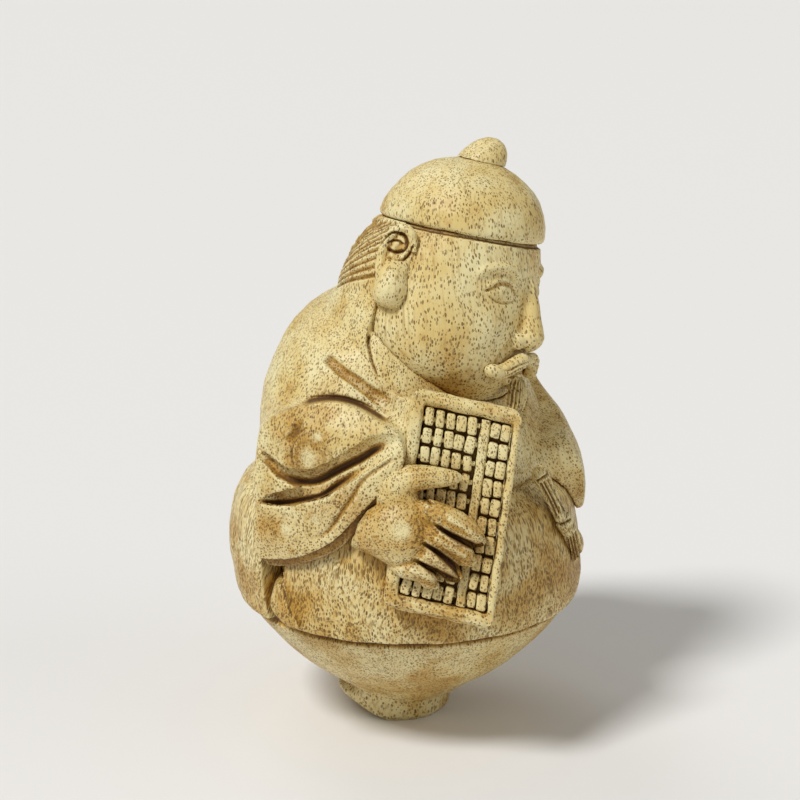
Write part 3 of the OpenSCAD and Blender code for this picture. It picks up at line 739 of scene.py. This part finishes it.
# the back of the neck, which the robe's cloth covers up to the ends of the hair
napeLook = {
    "size": (14.4, 14.85), "middle": 3.0, "front": 4.4, "foot": -6.0, "flare": 1.12,
    "top": (3.1, 5.5, -0.126),
}


def makeNape():
    nape = newMesh(bpy.ops.mesh.primitive_cylinder_add, vertices=96, radius=mm, depth=2 * mm)
    local = pointsOf(nape)
    upper = local[:, 2] > 0
    local[:, :2] *= np.where(upper, 1, napeLook["flare"])[:, None]
    local[:, :2] = local[:, :2] * napeLook["size"] + (0, napeLook["middle"])
    level, start, slope = napeLook["top"]
    local[:, 2] = np.where(upper, level + (local[:, 1] - start) * slope, napeLook["foot"])
    setPoints(nape, atHead(local))
    front = Vector(atHead((0, napeLook["front"], 0))[0]) * mm
    onWhole(bpy.ops.mesh.bisect, plane_co=front, plane_no=headPlace[:3, 1], use_fill=True, clear_inner=True)
    return nape


def makeJacket():
    nodes = ["jacket", "collar", "right_sleeve", "left_sleeve"]
    spot, halves = sleeveLook["foldEnd"]
    ends = [makeLump(True, np.array(spot) * (side, 1, 1), halves, np.eye(4)) for side in (1, -1)]
    jacket = startPiece("jacketAndSleeves", nodes, sleeveLook["skin"], makeRamp(), makeNape(), *ends)
    keepMain(jacket)
    middle, reach, rounds = sleeveLook["rampEase"]
    ease(jacket, atAbacus(middle)[0], reach, rounds)
    handWork(jacket, *sleeveLook["handWork"])
    tree = skinTree(jacket)
    for spot, behind, reach, rounds in sleeveLook["rolls"]:
        place = fromPhoto(tree, [spot, spot])[0] + sightAim([spot]) * behind
        for side in (1, -1):
            ease(jacket, place * (side, 1, 1), reach, rounds)
    tree = skinTree(jacket)
    for name, width, grow, depth, edge, fade, paintedShade, spare in sleeveLook["strokes"]:
        path = fromPhoto(tree, sleeveLook[name])
        aim = sightAim(sleeveLook[name]) if spare else None
        carve(jacket, path, width, depth, edge, fade, paintedShade, aim, grow, spare)
        if name not in sleeveLook["rightOnly"]:
            other = onSkin(tree, path * mirror)
            depth, paintedShade = depth * sleeveLook["farDepth"], paintedShade * sleeveLook["farShade"]
            aim = aim * mirror if spare else None
            carve(jacket, other, width, depth, edge, fade, paintedShade, aim, grow, spare)
    register(jacket, nodes, jacketFinish, sleeveLook["most"])
    for name, node in (("liningRight", "right_sleeve_lining"), ("liningLeft", "left_sleeve_lining")):
        register(startPiece(name, [node], sleeveLook["lining"]), [node], jacketFinish)


# gaps between the fingers, nail and knuckles, as pixels of the photograph; each stroke has its width, growth,
# depth, edge, fade at both ends, painted shade in the cut, and 1 where it is cut along the line of sight
handLook = {
    "skin": (0.13, 4), "most": 110000,
    "gaps": ([(432, 522), (450, 534.5), (477.5, 548), (492, 554)],
        [(420, 541), (436.7, 552), (455.5, 567.8), (465, 581)],
        [(412, 558), (430, 568.5), (449, 578), (462, 585)]),
    "thumbFork": ([(416, 489.5), (424, 497.5), (433, 505.6)],),
    "nails": ([(447, 471.5), (449.5, 477), (448, 482.5)], [(452, 472.5), (454, 477), (453, 481.5)]),
    "knuckles": ([(447, 517), (443, 524), (440, 529)], [(438, 530), (433, 538), (430, 543)],
        [(426, 548), (421, 555), (419, 559)]),
    "scarRings": ([(412, 512), (421, 520), (424.5, 531), (422, 543), (414, 551)],
        [(409, 516), (417, 523), (420, 532), (417, 541), (410, 547)]),
    "crests": ([(444, 515), (462, 526), (482, 541)], [(431, 535), (447, 546), (468, 558)],
        [(421, 552), (436, 561), (455, 572)], [(409, 567), (422, 575), (440, 582)]),
    "web": ((-7.7, -2.1, 0.5), (2.9, 1.85, 2.1)), "webEase": ((-7.7, -3.5, 0.6), 3.2, 40),
    "strokes": (("crests", 0.85, 1, -0.3, "round", (0.2, 0.15), 0, 0),
        ("gaps", 0.22, 3.2, 2.0, "flat", (0.3, 0.0), 1.0, 1),
        ("thumbFork", 0.4, 1, 0.8, "vee", (0.2, 0.2), 0.9, 1),
        ("nails", 0.16, 1, 0.14, "vee", (0.12, 0.12), 0.5, 0),
        ("knuckles", 0.5, 1, 0.16, "soft", (0.12, 0.12), 0.3, 0),
        ("scarRings", 0.3, 1, 0.12, "round", (0.25, 0.25), 0.5, 0)),
}


def makeHand():
    nodes = ["right_hand", "right_thumb", "right_index_finger", "right_middle_finger", "right_ring_finger",
             "right_little_finger"]
    web = makeLump(True, *handLook["web"], abacusPlace)
    hand = startPiece("rightHand", nodes, handLook["skin"], web)
    middle, reach, rounds = handLook["webEase"]
    ease(hand, atAbacus(middle)[0], reach, rounds)
    tree = skinTree(hand)
    for kind, width, grow, depth, edge, fade, paintedShade, knife in handLook["strokes"]:
        for keys in handLook[kind]:
            aim = sightAim(keys) if knife else None
            carve(hand, fromPhoto(tree, keys), width, depth, edge, fade, paintedShade, aim, grow)
    register(hand, nodes, handFinish, handLook["most"])


# counting frame: eased rails, and a pillow-shaped bead cut for every place on the rods
abacusLook = {
    "skew": 4.5, "height": 31.4, "endRail": 2.3, "rods": 10, "rodDepth": -0.45,
    "handWork": (0.14, 3.5), "most": 90000, "beadSize": ((0.82, 0.88, 0.86), (1.08, 1.04, 1.05)),
    "beadTilt": 8, "beadSlip": 0.06, "beadRise": 0.12, "beadDrop": 0.07,
    "decks": (("abacusLowerBeads", "abacus_lower_beads", 5, -5.7, 1.9, 21),
        ("abacusUpperBeads", "abacus_upper_beads", 2, 3.7, 6.65, 22)),
    "width": 15.9, "corner": 1.9, "beadFill": 0.87, "beadHeight": 2.42, "beadDepth": 2.1, "beadEase": 0.36,
    "parts": (("abacusBoard", ["abacus_back_board"], (0.25, 5), 35),
        ("abacusFrame", ["abacus_top_rail", "abacus_bottom_rail", "abacus_inner_rail", "abacus_outer_rail"],
         (0.15, 13), 43),
        ("abacusBeam", ["abacus_beam"], (0.15, 5), 35)),
    "joints": (((-6.9, 0, 13.4), (1.0, 1.5, 0.6)), ((-6.9, 0, -13.4), (1.0, 1.5, 0.6)),
        ((7.35, 0, 13.4), (0.55, 1.5, 0.6)), ((7.35, 0, -13.4), (0.55, 1.5, 0.6))),
}


def skewed(piece):
    local = inAbacus(pointsOf(piece))
    local[:, 2] -= local[:, 0] * math.tan(math.radians(abacusLook["skew"]))
    setPoints(piece, atAbacus(local))


def makeBead(width):
    bead = newMesh(bpy.ops.mesh.primitive_cube_add, size=1)
    bead.scale = (width * mm, abacusLook["beadDepth"] * mm, abacusLook["beadHeight"] * mm)
    bpy.ops.object.transform_apply(location=False, rotation=False, scale=True)
    onWhole(bpy.ops.mesh.bevel, offset=abacusLook["beadEase"] * mm, segments=3, profile=0.55, affect="EDGES")
    return bead


def makeDeck(name, node, count, low, high, seed):
    look = abacusLook
    turn = np.random.default_rng(seed)
    pitch = (high - low) / count
    step = (look["height"] - 2 * look["endRail"]) / look["rods"]
    bottom = -look["height"] / 2 + look["endRail"]
    bead = makeBead(pitch * look["beadFill"])
    shape = pointsOf(bead)
    copies = []
    for row in range(look["rods"]):
        for column in range(count):
            copy = bead.copy()
            copy.data = bead.data.copy()
            scene.collection.objects.link(copy)
            local = shape * turn.uniform(*look["beadSize"])
            tilt = math.radians(turn.uniform(-look["beadTilt"], look["beadTilt"]))
            x, z = local[:, 0].copy(), local[:, 2].copy()
            local[:, 0] = x * math.cos(tilt) - z * math.sin(tilt)
            local[:, 2] = x * math.sin(tilt) + z * math.cos(tilt)
            local[:, 0] += low + pitch * (column + 0.5) + turn.uniform(-look["beadSlip"], look["beadSlip"])
            local[:, 1] += look["rodDepth"] + turn.uniform(0, look["beadRise"])
            local[:, 2] += bottom + step * (row + 0.5) + turn.uniform(-look["beadDrop"], look["beadDrop"])
            setPoints(copy, atAbacus(local))
            copies.append(copy)
    bpy.data.objects.remove(bead)
    deck = joinAll(copies)
    deck.name = deck.data.name = name
    skewed(deck)
    register(deck, [node], frameFinish)


# outer corners of the frame, worn round
def roundCorners(piece):
    local = inAbacus(pointsOf(piece))
    flat = local[:, (0, 2)]
    corner = abacusLook["corner"]
    middle = np.sign(flat) * (np.array((abacusLook["width"], abacusLook["height"])) / 2 - corner)
    off = flat - middle
    away = np.linalg.norm(off, axis=1)
    past = np.all(off * np.sign(flat) > 0, axis=1) & (away > corner)
    local[np.ix_(past, (0, 2))] = middle[past] + off[past] * (corner / away[past])[:, None]
    setPoints(piece, atAbacus(local))


def makeAbacus():
    for name, nodes, skin, seed in abacusLook["parts"]:
        joints = abacusLook["joints"] if name == "abacusFrame" else ()
        lumps = [makeLump(False, *joint, abacusPlace) for joint in joints]
        part = startPiece(name, nodes, skin, *lumps)
        if name == "abacusFrame":
            roundCorners(part)
        handWork(part, *abacusLook["handWork"], seed)
        skewed(part)
        register(part, nodes, frameFinish, abacusLook["most"])
    for deck in abacusLook["decks"]:
        makeDeck(*deck)
    rods = frame["nodes"]["abacus_rods"]
    rods.data.materials.clear()
    rods.data.materials.append(frameFinish)


# sash: strands along the strap and the fringe, two cuts across the band, on both sides
sashLook = {
    "skin": (0.13, 3), "cut": (0.3, 0.42, "vee", (0.05, 0.05), 0.95),
    "clear": 20, "nodes": {"sashKnot": "sash_knot", "tasselBand": "tassel_band", "tasselFringe": "tassel"},
    "sashKnot": ([(540, 483), (549, 500), (556, 517)], [(544, 481), (553, 498), (560.5, 514)],
        [(548, 479), (557, 496), (565, 511)], [(536, 482), (542, 478.5), (550, 473)]),
    "tasselBand": ([(551, 519), (561, 515), (570, 511)], [(553, 527), (563, 523), (572, 519)]),
    "tasselFringe": [[(562 + 3.2 * k, 533 - 1.5 * k), (569 + 3.3 * k, 565 - 1.7 * k)] for k in range(6)],
}


def farSide(tree, path, aim):
    return castAll(tree, [q + aim * sashLook["clear"] for q in path], -aim)


def makeSash():
    for name, node in sashLook["nodes"].items():
        part = startPiece(name, [node], sashLook["skin"])
        tree = skinTree(part)
        for keys in sashLook[name]:
            path, aim = fromPhoto(tree, keys), sightAim(keys)
            for line in (path, farSide(tree, path, aim)):
                carve(part, line, *sashLook["cut"])
        register(part, [node], robeFinish)


# head: a calm, level face on its own middle line, half of it listed and the other half mirrored
faceLook = {
    "skin": (0.2, 4), "handWork": (0.08, 7, 9), "most": 150000,
    "clear": 25, "brim": (11.9, 0, 14.1, 90), "brimCut": (0.55, 0.5, "vee", (0, 0), 1.0),
    "strokes": {
        "brow": ([(2.3, 9), (5, 10.3), (8, 10.1), (10.3, 8.3)], 1.1, -0.55, "soft", (0.25, 0.3), 0),
        "eyeball": ([(3.4, 6.6), (5.8, 6.9), (8.3, 6.8)], 1.35, -0.75, "round", (0.5, 0.5), 0),
        "upperLid": ([(3, 7.1), (4.6, 8.4), (6.6, 8.6), (9, 7)], 0.5, -0.35, "soft", (0.2, 0.2), 0),
        "lidLine": ([(2.9, 6.3), (4.5, 7.6), (6.3, 7.9), (8.9, 6.6)], 0.3, 0.4, "vee", (0.15, 0.15), 0.8),
        "lowerLine": ([(3.3, 6.2), (5, 5.4), (6.9, 5.5), (8.6, 6.4)], 0.26, 0.3, "vee", (0.2, 0.2), 0.6),
        "cheekFold": ([(2.9, 0.3), (4.8, -2), (5.7, -4.2)], 0.8, 0.35, "soft", (0.2, 0.3), 0.15),
        "mouthLine": ([(0, -5), (1.6, -5.2), (3.4, -4.8)], 0.36, 0.5, "vee", (0, 0.3), 0.8),
        "lip": ([(0, -6.3), (1.5, -6.2), (2.8, -5.8)], 0.8, -0.4, "soft", (0, 0.4), 0),
        "underLip": ([(0, -7.6), (2, -7.3)], 0.7, 0.3, "soft", (0, 0.5), 0.1)},
    "socket": (5.8, 7, (3.6, 4, 2.6), -0.55), "cheek": (7.6, 1.4, (5.4, 5, 4.6), 0.5),
    "pupil": (5.9, 6.9, (0.6, 2, 0.6), -0.3),
}


def onFace(tree, keys):
    starts = [(x, -faceLook["clear"], z) for x, z in smoothPath(keys, 0.4)]
    return castAll(tree, atHead(starts), headPlace[:3, 1])


def shapeFace(head, side, x, z, reach, height):
    middle = onFace(skinTree(head), [(x * side, z)] * 2)[0]
    swell(head, middle, (headPlace[:3, :3] * np.array(reach)).T, height)


def makeFace():
    nodes = ["head", "nose", "lower_lip"]
    head = startPiece("headAndFace", nodes, faceLook["skin"])
    handWork(head, *faceLook["handWork"])
    for side in (-1, 1):
        for form in ("socket", "cheek"):
            shapeFace(head, side, *faceLook[form])
        tree = skinTree(head)
        for keys, *cut in faceLook["strokes"].values():
            carve(head, onFace(tree, [(x * side, z) for x, z in keys]), *cut)
        shapeFace(head, side, *faceLook["pupil"])
    carve(head, onSkin(skinTree(head), atHead(ringOf(*faceLook["brim"]))), *faceLook["brimCut"])
    nodes += ["right_eye", "left_eye", "right_brow", "left_brow"]
    register(head, nodes, headFinish, faceLook["most"])


# hair, ears and beard, with the strokes of the ear as pixels of the photograph
hairLook = {
    "hairSkin": (0.17, 3), "earSkin": (0.11, 4), "beardSkin": (0.11, 3), "moustacheSkin": (0.11, 5),
    "seed": 12, "strands": 21, "lowest": 3.2, "pitch": 0.86, "slope": (0.085, 0.021, 0.3),
    "width": 0.42, "depth": 0.5, "uneven": (0.8, 1.1), "slip": 0.15, "strandEnds": (0.05, 0.03), "strandShade": 0.7,
    "sweep": (4, 91, 30), "level": 44, "settle": 92, "oval": (14.2, 14.4, 3), "top": 16.5,
    "most": 90000, "earMost": 60000, "earEnds": (0.1, 0.1),
    "earStrokes": (([(379, 247), (384.5, 237.5), (394, 232.7), (404, 235.5), (407, 243), (404, 250),
        (397, 252), (390, 250), (387, 245)], 0.32, 0.5, "round", 0.9),
        ([(387, 244), (393, 240.5), (400, 241.5), (403, 245)], 0.26, 0.4, "round", 0.8),
        ([(388.5, 256), (394, 260.5), (404, 259.5), (410, 253), (413.5, 246.5), (421, 245)],
        0.3, 0.5, "round", 0.9)),
    "bulges": (((392, 283), 3.0, 0.5), ((393, 269), 2.8, 0.45)),
    "earShift": (7.5, 3.0, -0.7), "earSink": (6.5, 2.5, 0.5),
    "moustache": ([(0.6, -2.1), (3.4, -3.0), (4.9, -3.9), (6.4, -4.1)],
        [(0.6, -2.8), (3.2, -3.7), (4.7, -4.7), (6.2, -5.0)]),
    "moustacheCut": (0.26, 0.24, "vee", (0.1, 0.2), 0.6),
    "beardStrands": range(-110, 111, 22), "beardLevels": 9, "beardEnd": 0.3, "beardRow": 0.5,
    "beardClear": 12, "beardCut": (0.32, 0.42, "vee", (0.02, 0.02), 0.7),
}


def acrossHead(path):
    return atHead(inHead(path) * mirror)


# strands combed back and down from the ears to the middle of the neck
def makeHair():
    look = hairLook
    hair = startPiece("hairBack", ["hair"], look["hairSkin"])
    tree = skinTree(hair)
    turn = np.random.default_rng(look["seed"])
    wide, deep, middle = look["oval"]
    for side in (-1, 1):
        for k in range(look["strands"]):
            start = look["lowest"] + look["pitch"] * k + turn.uniform(-look["slip"], look["slip"])
            slope = min(look["slope"][0] + look["slope"][1] * (start - look["lowest"]), look["slope"][2])
            keys = []
            for angle in np.linspace(*look["sweep"]):
                off = angle - look["level"]
                drop = slope * off * (1 - max(off, 0) / look["settle"])
                a = math.radians(angle)
                keys.append((side * wide * math.cos(a), middle + deep * math.sin(a), start - drop))
            keys = [q for q in keys if q[2] < look["top"]]
            if len(keys) > 2:
                depth = look["depth"] * turn.uniform(*look["uneven"])
                path = onSkin(tree, atHead(keys))
                # the strand grooves get painted shade
                carve(hair, path, look["width"], depth, "vee", look["strandEnds"], look["strandShade"])
    register(hair, ["hair"], headFinish, look["most"])


def makeEars():
    paths, bulbs = [], []
    for name, node, mirrored in (("earRight", "right_ear", False), ("earLeft", "left_ear", True)):
        ear = startPiece(name, [node], hairLook["earSkin"])
        local = inHead(pointsOf(ear))
        for axis, level, span, move in ((1, *hairLook["earShift"]), (0, *hairLook["earSink"])):
            near = (level - local[:, 2]) / span if axis else (local[:, 2] - level) / span
            local[:, axis] += move * smoothStep(near) * (-1 if mirrored and not axis else 1)
        setPoints(ear, atHead(local))
        tree = skinTree(ear)
        if not mirrored:
            paths = [fromPhoto(tree, stroke[0]) for stroke in hairLook["earStrokes"]]
            bulbs = [fromPhoto(tree, [spot, spot])[0] for spot, size, rise in hairLook["bulges"]]
        for bulb, (spot, size, rise) in zip(bulbs, hairLook["bulges"]):
            swell(ear, acrossHead(bulb[None])[0] if mirrored else bulb, np.eye(3) * size, rise)
        for path, (keys, width, depth, edge, paintedShade) in zip(paths, hairLook["earStrokes"]):
            line = nearestOn(tree, acrossHead(path) if mirrored else path)
            carve(ear, line, width, depth, edge, hairLook["earEnds"], paintedShade)
        register(ear, [node], headFinish, hairLook["earMost"])


def makeBeard():
    beard = startPiece("beardTuft", ["beard"], hairLook["beardSkin"])
    tree = skinTree(beard)
    local = inHead(pointsOf(beard))
    top, tip = local[:, 2].max() - hairLook["beardEnd"], local[:, 2].min() + hairLook["beardEnd"]
    for degrees in hairLook["beardStrands"]:
        a = math.radians(degrees)
        out, starts = np.array((math.sin(a), -math.cos(a), 0)), []
        for level in np.linspace(top, tip, hairLook["beardLevels"]):
            row = local[np.abs(local[:, 2] - level) < hairLook["beardRow"]]
            middle = (row.max(0) + row.min(0)) / 2 * (1, 1, 0) + (0, 0, level)
            starts.append(middle + out * hairLook["beardClear"])
        path = castAll(tree, atHead(starts), -(headPlace[:3, :3] @ out))
        carve(beard, smoothPath(path, 0.4), *hairLook["beardCut"])
    register(beard, ["beard"], headFinish)
    for name, node, side in (("moustacheRight", "right_moustache", -1),
                             ("moustacheLeft", "left_moustache", 1)):
        part = startPiece(name, [node], hairLook["moustacheSkin"])
        tree = skinTree(part)
        for keys in hairLook["moustache"]:
            carve(part, onFace(tree, [(x * side, z) for x, z in keys]), *hairLook["moustacheCut"])
        register(part, [node], headFinish)


capLook = {
    "skins": {"cap": (0.22, 5), "cap_knob": (0.14, 5)}, "handWork": (0.1, 6, 11),
    "flare": (12.0, 19.5, 5.0, 0.7),
}


def makeCap():
    for name, node in (("capDome", "cap"), ("capKnob", "cap_knob")):
        part = startPiece(name, [node], capLook["skins"][node])
        if node == "cap":
            behind, level, span, move = capLook["flare"]
            local = inHead(pointsOf(part))
            low = smoothStep((level - local[:, 2]) / span)
            local[:, 1] += move * smoothStep(local[:, 1] / behind) * low
            setPoints(part, atHead(local))
        handWork(part, *capLook["handWork"])
        register(part, [node], headFinish)


# painted shade, mixed with amber patina, gathers where the solids crowd together, in hollows and round the
# cuts, and edges wear pale
shadeAndPatinaLook = {
    "step": 0.5, "margin": 4, "near": (0.75, 0.75, 0.3, 0.5), "wide": (1.6, 0.55, 0.34, 0.45),
    "halo": 1.3, "haloStrength": 1.1, "even": 6, "edge": 0.8, "wornFrom": (0.03, 0.12),
    "hollow": 0.35, "hollowFrom": (0.012, 0.06), "farBurnAndShade": 0.8,
    # deep adds heavy painted shade to the sleeve linings and the abacus board, and amber tone to the hair
    "deep": {"liningRight": 1.1, "liningLeft": 1.1, "abacusBoard": 0.9, "hairBack": 0.15},
}

# where a flame has darkened the skin, with painted shade in some spots (under the chin, the cap's shaded
# side, the belly below the sash), as pixels with a radius and a strength; the far side mirrors them
burnAndShadeLook = (
    (287, 425, 4.5, 0.45), (303, 447, 2.6, 0.3), (272, 535, 3.5, 0.35), (330, 503, 4.5, 0.3),
    (352, 505, 2.6, 0.4), (431, 527, 2.6, 0.55), (465, 540, 3.2, 0.75), (448, 560, 2.8, 0.7),
    (433, 575, 2.6, 0.6), (368, 548, 2.6, 0.35), (505, 409, 2.6, 0.5), (396, 609, 2.6, 0.45),
    (488, 440, 2.2, 0.3), (528, 218, 5.0, 0.12), (386, 214, 3.0, 0.4), (455, 372, 5.5, 0.5),
    (358, 262, 6.0, 0.3), (300, 588, 4.0, 0.3), (430, 625, 5.0, 0.3), (545, 565, 6.0, 0.35),
    (268, 405, 4.0, 0.25), (392, 398, 2.5, 0.4),
)


def burnAndShadeSpots():
    trees, far = [skinTree(solid) for solid in frame["nodes"].values()], shadeAndPatinaLook["farBurnAndShade"]
    spots = []
    for px, py, radius, strength in burnAndShadeLook:
        eye, ray = sightLine(px, py)
        hits = [found for found in (tree.ray_cast(eye, ray) for tree in trees) if found[0] is not None]
        if hits:
            spot = np.array(min(hits, key=lambda found: found[3])[0]) / mm
            spots += [(spot, radius, strength), (spot * mirror, radius, strength * far)]
    return spots


def solidGrid(step):
    low = np.array(cadBox[0]) / mm - shadeAndPatinaLook["margin"]
    high = np.array(cadBox[1]) / mm + shadeAndPatinaLook["margin"]
    shape = np.ceil((high - low) / step).astype(int)
    grid = np.zeros(shape, np.float32)
    up = Vector((0, 0, 1))
    for node, solid in frame["nodes"].items():
        tree = skinTree(solid)
        a, b = (np.array(c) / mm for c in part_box(node))
        i0, j0 = np.floor((a[:2] - low[:2]) / step).astype(int)
        i1, j1 = np.ceil((b[:2] - low[:2]) / step).astype(int)
        for i in range(i0, i1 + 1):
            for j in range(j0, j1 + 1):
                x, y = low[0] + (i + 0.503) * step, low[1] + (j + 0.497) * step
                start, marks = Vector((x, y, a[2] - 1)) * mm, []
                while len(marks) < 40:
                    hit = tree.ray_cast(start, up)[0]
                    if hit is None:
                        break
                    marks.append(hit.z / mm)
                    start = hit + up * 2e-6
                for bottom, top in zip(marks[::2], marks[1::2]):
                    k0, k1 = (int(round((m - low[2]) / step)) for m in (bottom, top))
                    grid[i, j, k0:k1] = 1
    return grid, low


def blurred(grid, reach):
    for _ in range(2):
        for axis in range(3):
            total = np.zeros_like(grid)
            for shift in range(-reach, reach + 1):
                total += np.roll(grid, shift, axis)
            grid = total / (2 * reach + 1)
    return grid


def paintShadeAndPatina(grid, low, burnAndShadeAt):
    look = shadeAndPatinaLook
    # painted shade, with some amber patina, where the solids crowd round a point: blurred counts of solid
    # near and wide
    crowds = [(blurred(grid, 1), *look["near"]), (blurred(grid, 3), *look["wide"])]
    for piece in pieces:
        co, no = pointsOf(piece), normalsOf(piece)
        shadeAndPatina = 0
        for field, lift, share, least, span in crowds:
            at = np.round((co + no * lift - low) / look["step"] - 0.5).astype(int)
            at = np.clip(at, 0, np.array(grid.shape) - 1)
            shadeAndPatina = shadeAndPatina + share * smoothStep((field[at[:, 0], at[:, 1], at[:, 2]] - least) / span)
        edges = edgesOf(piece)
        length = np.linalg.norm(co[edges[:, 0]] - co[edges[:, 1]], axis=1).mean()
        haloRounds, edgeRounds = (int(np.clip((look[k] / length) ** 2, 2, 60)) for k in ("halo", "edge"))
        even = np.stack([spreadOut(co[:, k], edges, edgeRounds) for k in range(3)], 1)
        proud = ((co - even) * no).sum(1)
        # heavy painted shade on the sleeve linings and the abacus board, amber tone on the hair
        heavyShadeAndPatina = look["deep"].get(piece.name, 0)
        if piece.name == "abacusBoard":
            heavyShadeAndPatina = heavyShadeAndPatina * smoothStep(-(no @ abacusPlace[:3, 1]) * 2 - 0.5)
        shadeAndPatina = spreadOut(shadeAndPatina, edges, look["even"]) + heavyShadeAndPatina
        # painted shade of the cuts spreads round them as amber
        shadeAndPatina += look["haloStrength"] * spreadOut(cutShadeOf(piece).astype(float), edges, haloRounds)
        # painted shade in the hollows of the skin
        least, span = look["hollowFrom"]
        shadeAndPatina += look["hollow"] * smoothStep((-proud - least) / span)
        # flame marks, some of them painted shade
        for spot, radius, strength in burnAndShadeAt:
            shadeAndPatina += strength * np.exp(-((co - spot) ** 2).sum(1) / radius ** 2)
        setLayer(piece, "shadeAndPatina", shadeAndPatina)
        least, span = look["wornFrom"]
        setLayer(piece, "worn", smoothStep((proud - least) / span))
    print("stain laid in the hollows")


# pale paper floor under one broad lamp from the left, with weak light all round
studioLook = {
    "floor": (0.80, 0.79, 0.77), "sky": (1.0, 0.985, 0.96), "world": 0.3, "shown": 0.9,
    "keyLamp": (-106, 52, 13, 2.35), "fillLamp": (10, 30, 40, 0.3), "rimLamp": (150, 45, 30, 0.4),
}


def farLamp(name, azimuth, elevation, softness, strength):
    way = wayTo(azimuth, elevation)
    data = bpy.data.lights.new(name, "SUN")
    data.angle, data.energy = math.radians(softness), strength
    lamp = bpy.data.objects.new(name, data)
    lamp.location = way
    lamp.rotation_euler = way.to_track_quat("Z", "Y").to_euler()
    scene.collection.objects.link(lamp)


def makeStudio():
    floor = newMesh(bpy.ops.mesh.primitive_plane_add, size=12, location=(0, 0, 0))
    floor.name = "paleFloor"
    paint = bpy.data.materials.new("palePaper")
    paint.use_nodes = True
    paper = paint.node_tree.nodes["Principled BSDF"]
    paper.inputs["Base Color"].default_value = (*studioLook["floor"], 1)
    paper.inputs["Roughness"].default_value = 0.9
    floor.data.materials.append(paint)
    world = bpy.data.worlds.new("paleRoom")
    scene.world = world
    world.use_nodes = True
    tree = world.node_tree
    sky = tree.nodes["Background"]
    sky.inputs["Color"].default_value = (*studioLook["sky"], 1)
    wire = Wire(tree)
    seen = wire.node("ShaderNodeLightPath", out="Is Camera Ray")
    strength = seen * (studioLook["shown"] - studioLook["world"]) + studioLook["world"]
    tree.links.new(strength.socket, sky.inputs["Strength"])
    for lamp in ("keyLamp", "fillLamp", "rimLamp"):
        farLamp(lamp, *studioLook[lamp])
    scene.view_settings.view_transform = "Standard"


crowdGrid, crowdCorner = solidGrid(shadeAndPatinaLook["step"])
foundBurnAndShade = burnAndShadeSpots()
# the flame marks counted include spots of painted shade
print("solids sampled:", int(crowdGrid.sum()), "cells,", len(foundBurnAndShade), "flame marks")
makeUnderside()
makeRobe()
makeJacket()
makeHand()
makeAbacus()
makeSash()
makeFace()
makeHair()
makeEars()
makeBeard()
makeCap()
print("pieces carved:", len(pieces))
paintShadeAndPatina(crowdGrid, crowdCorner, foundBurnAndShade)
makeStudio()

print("faces in all:", sum(len(p.data.polygons) for p in pieces))
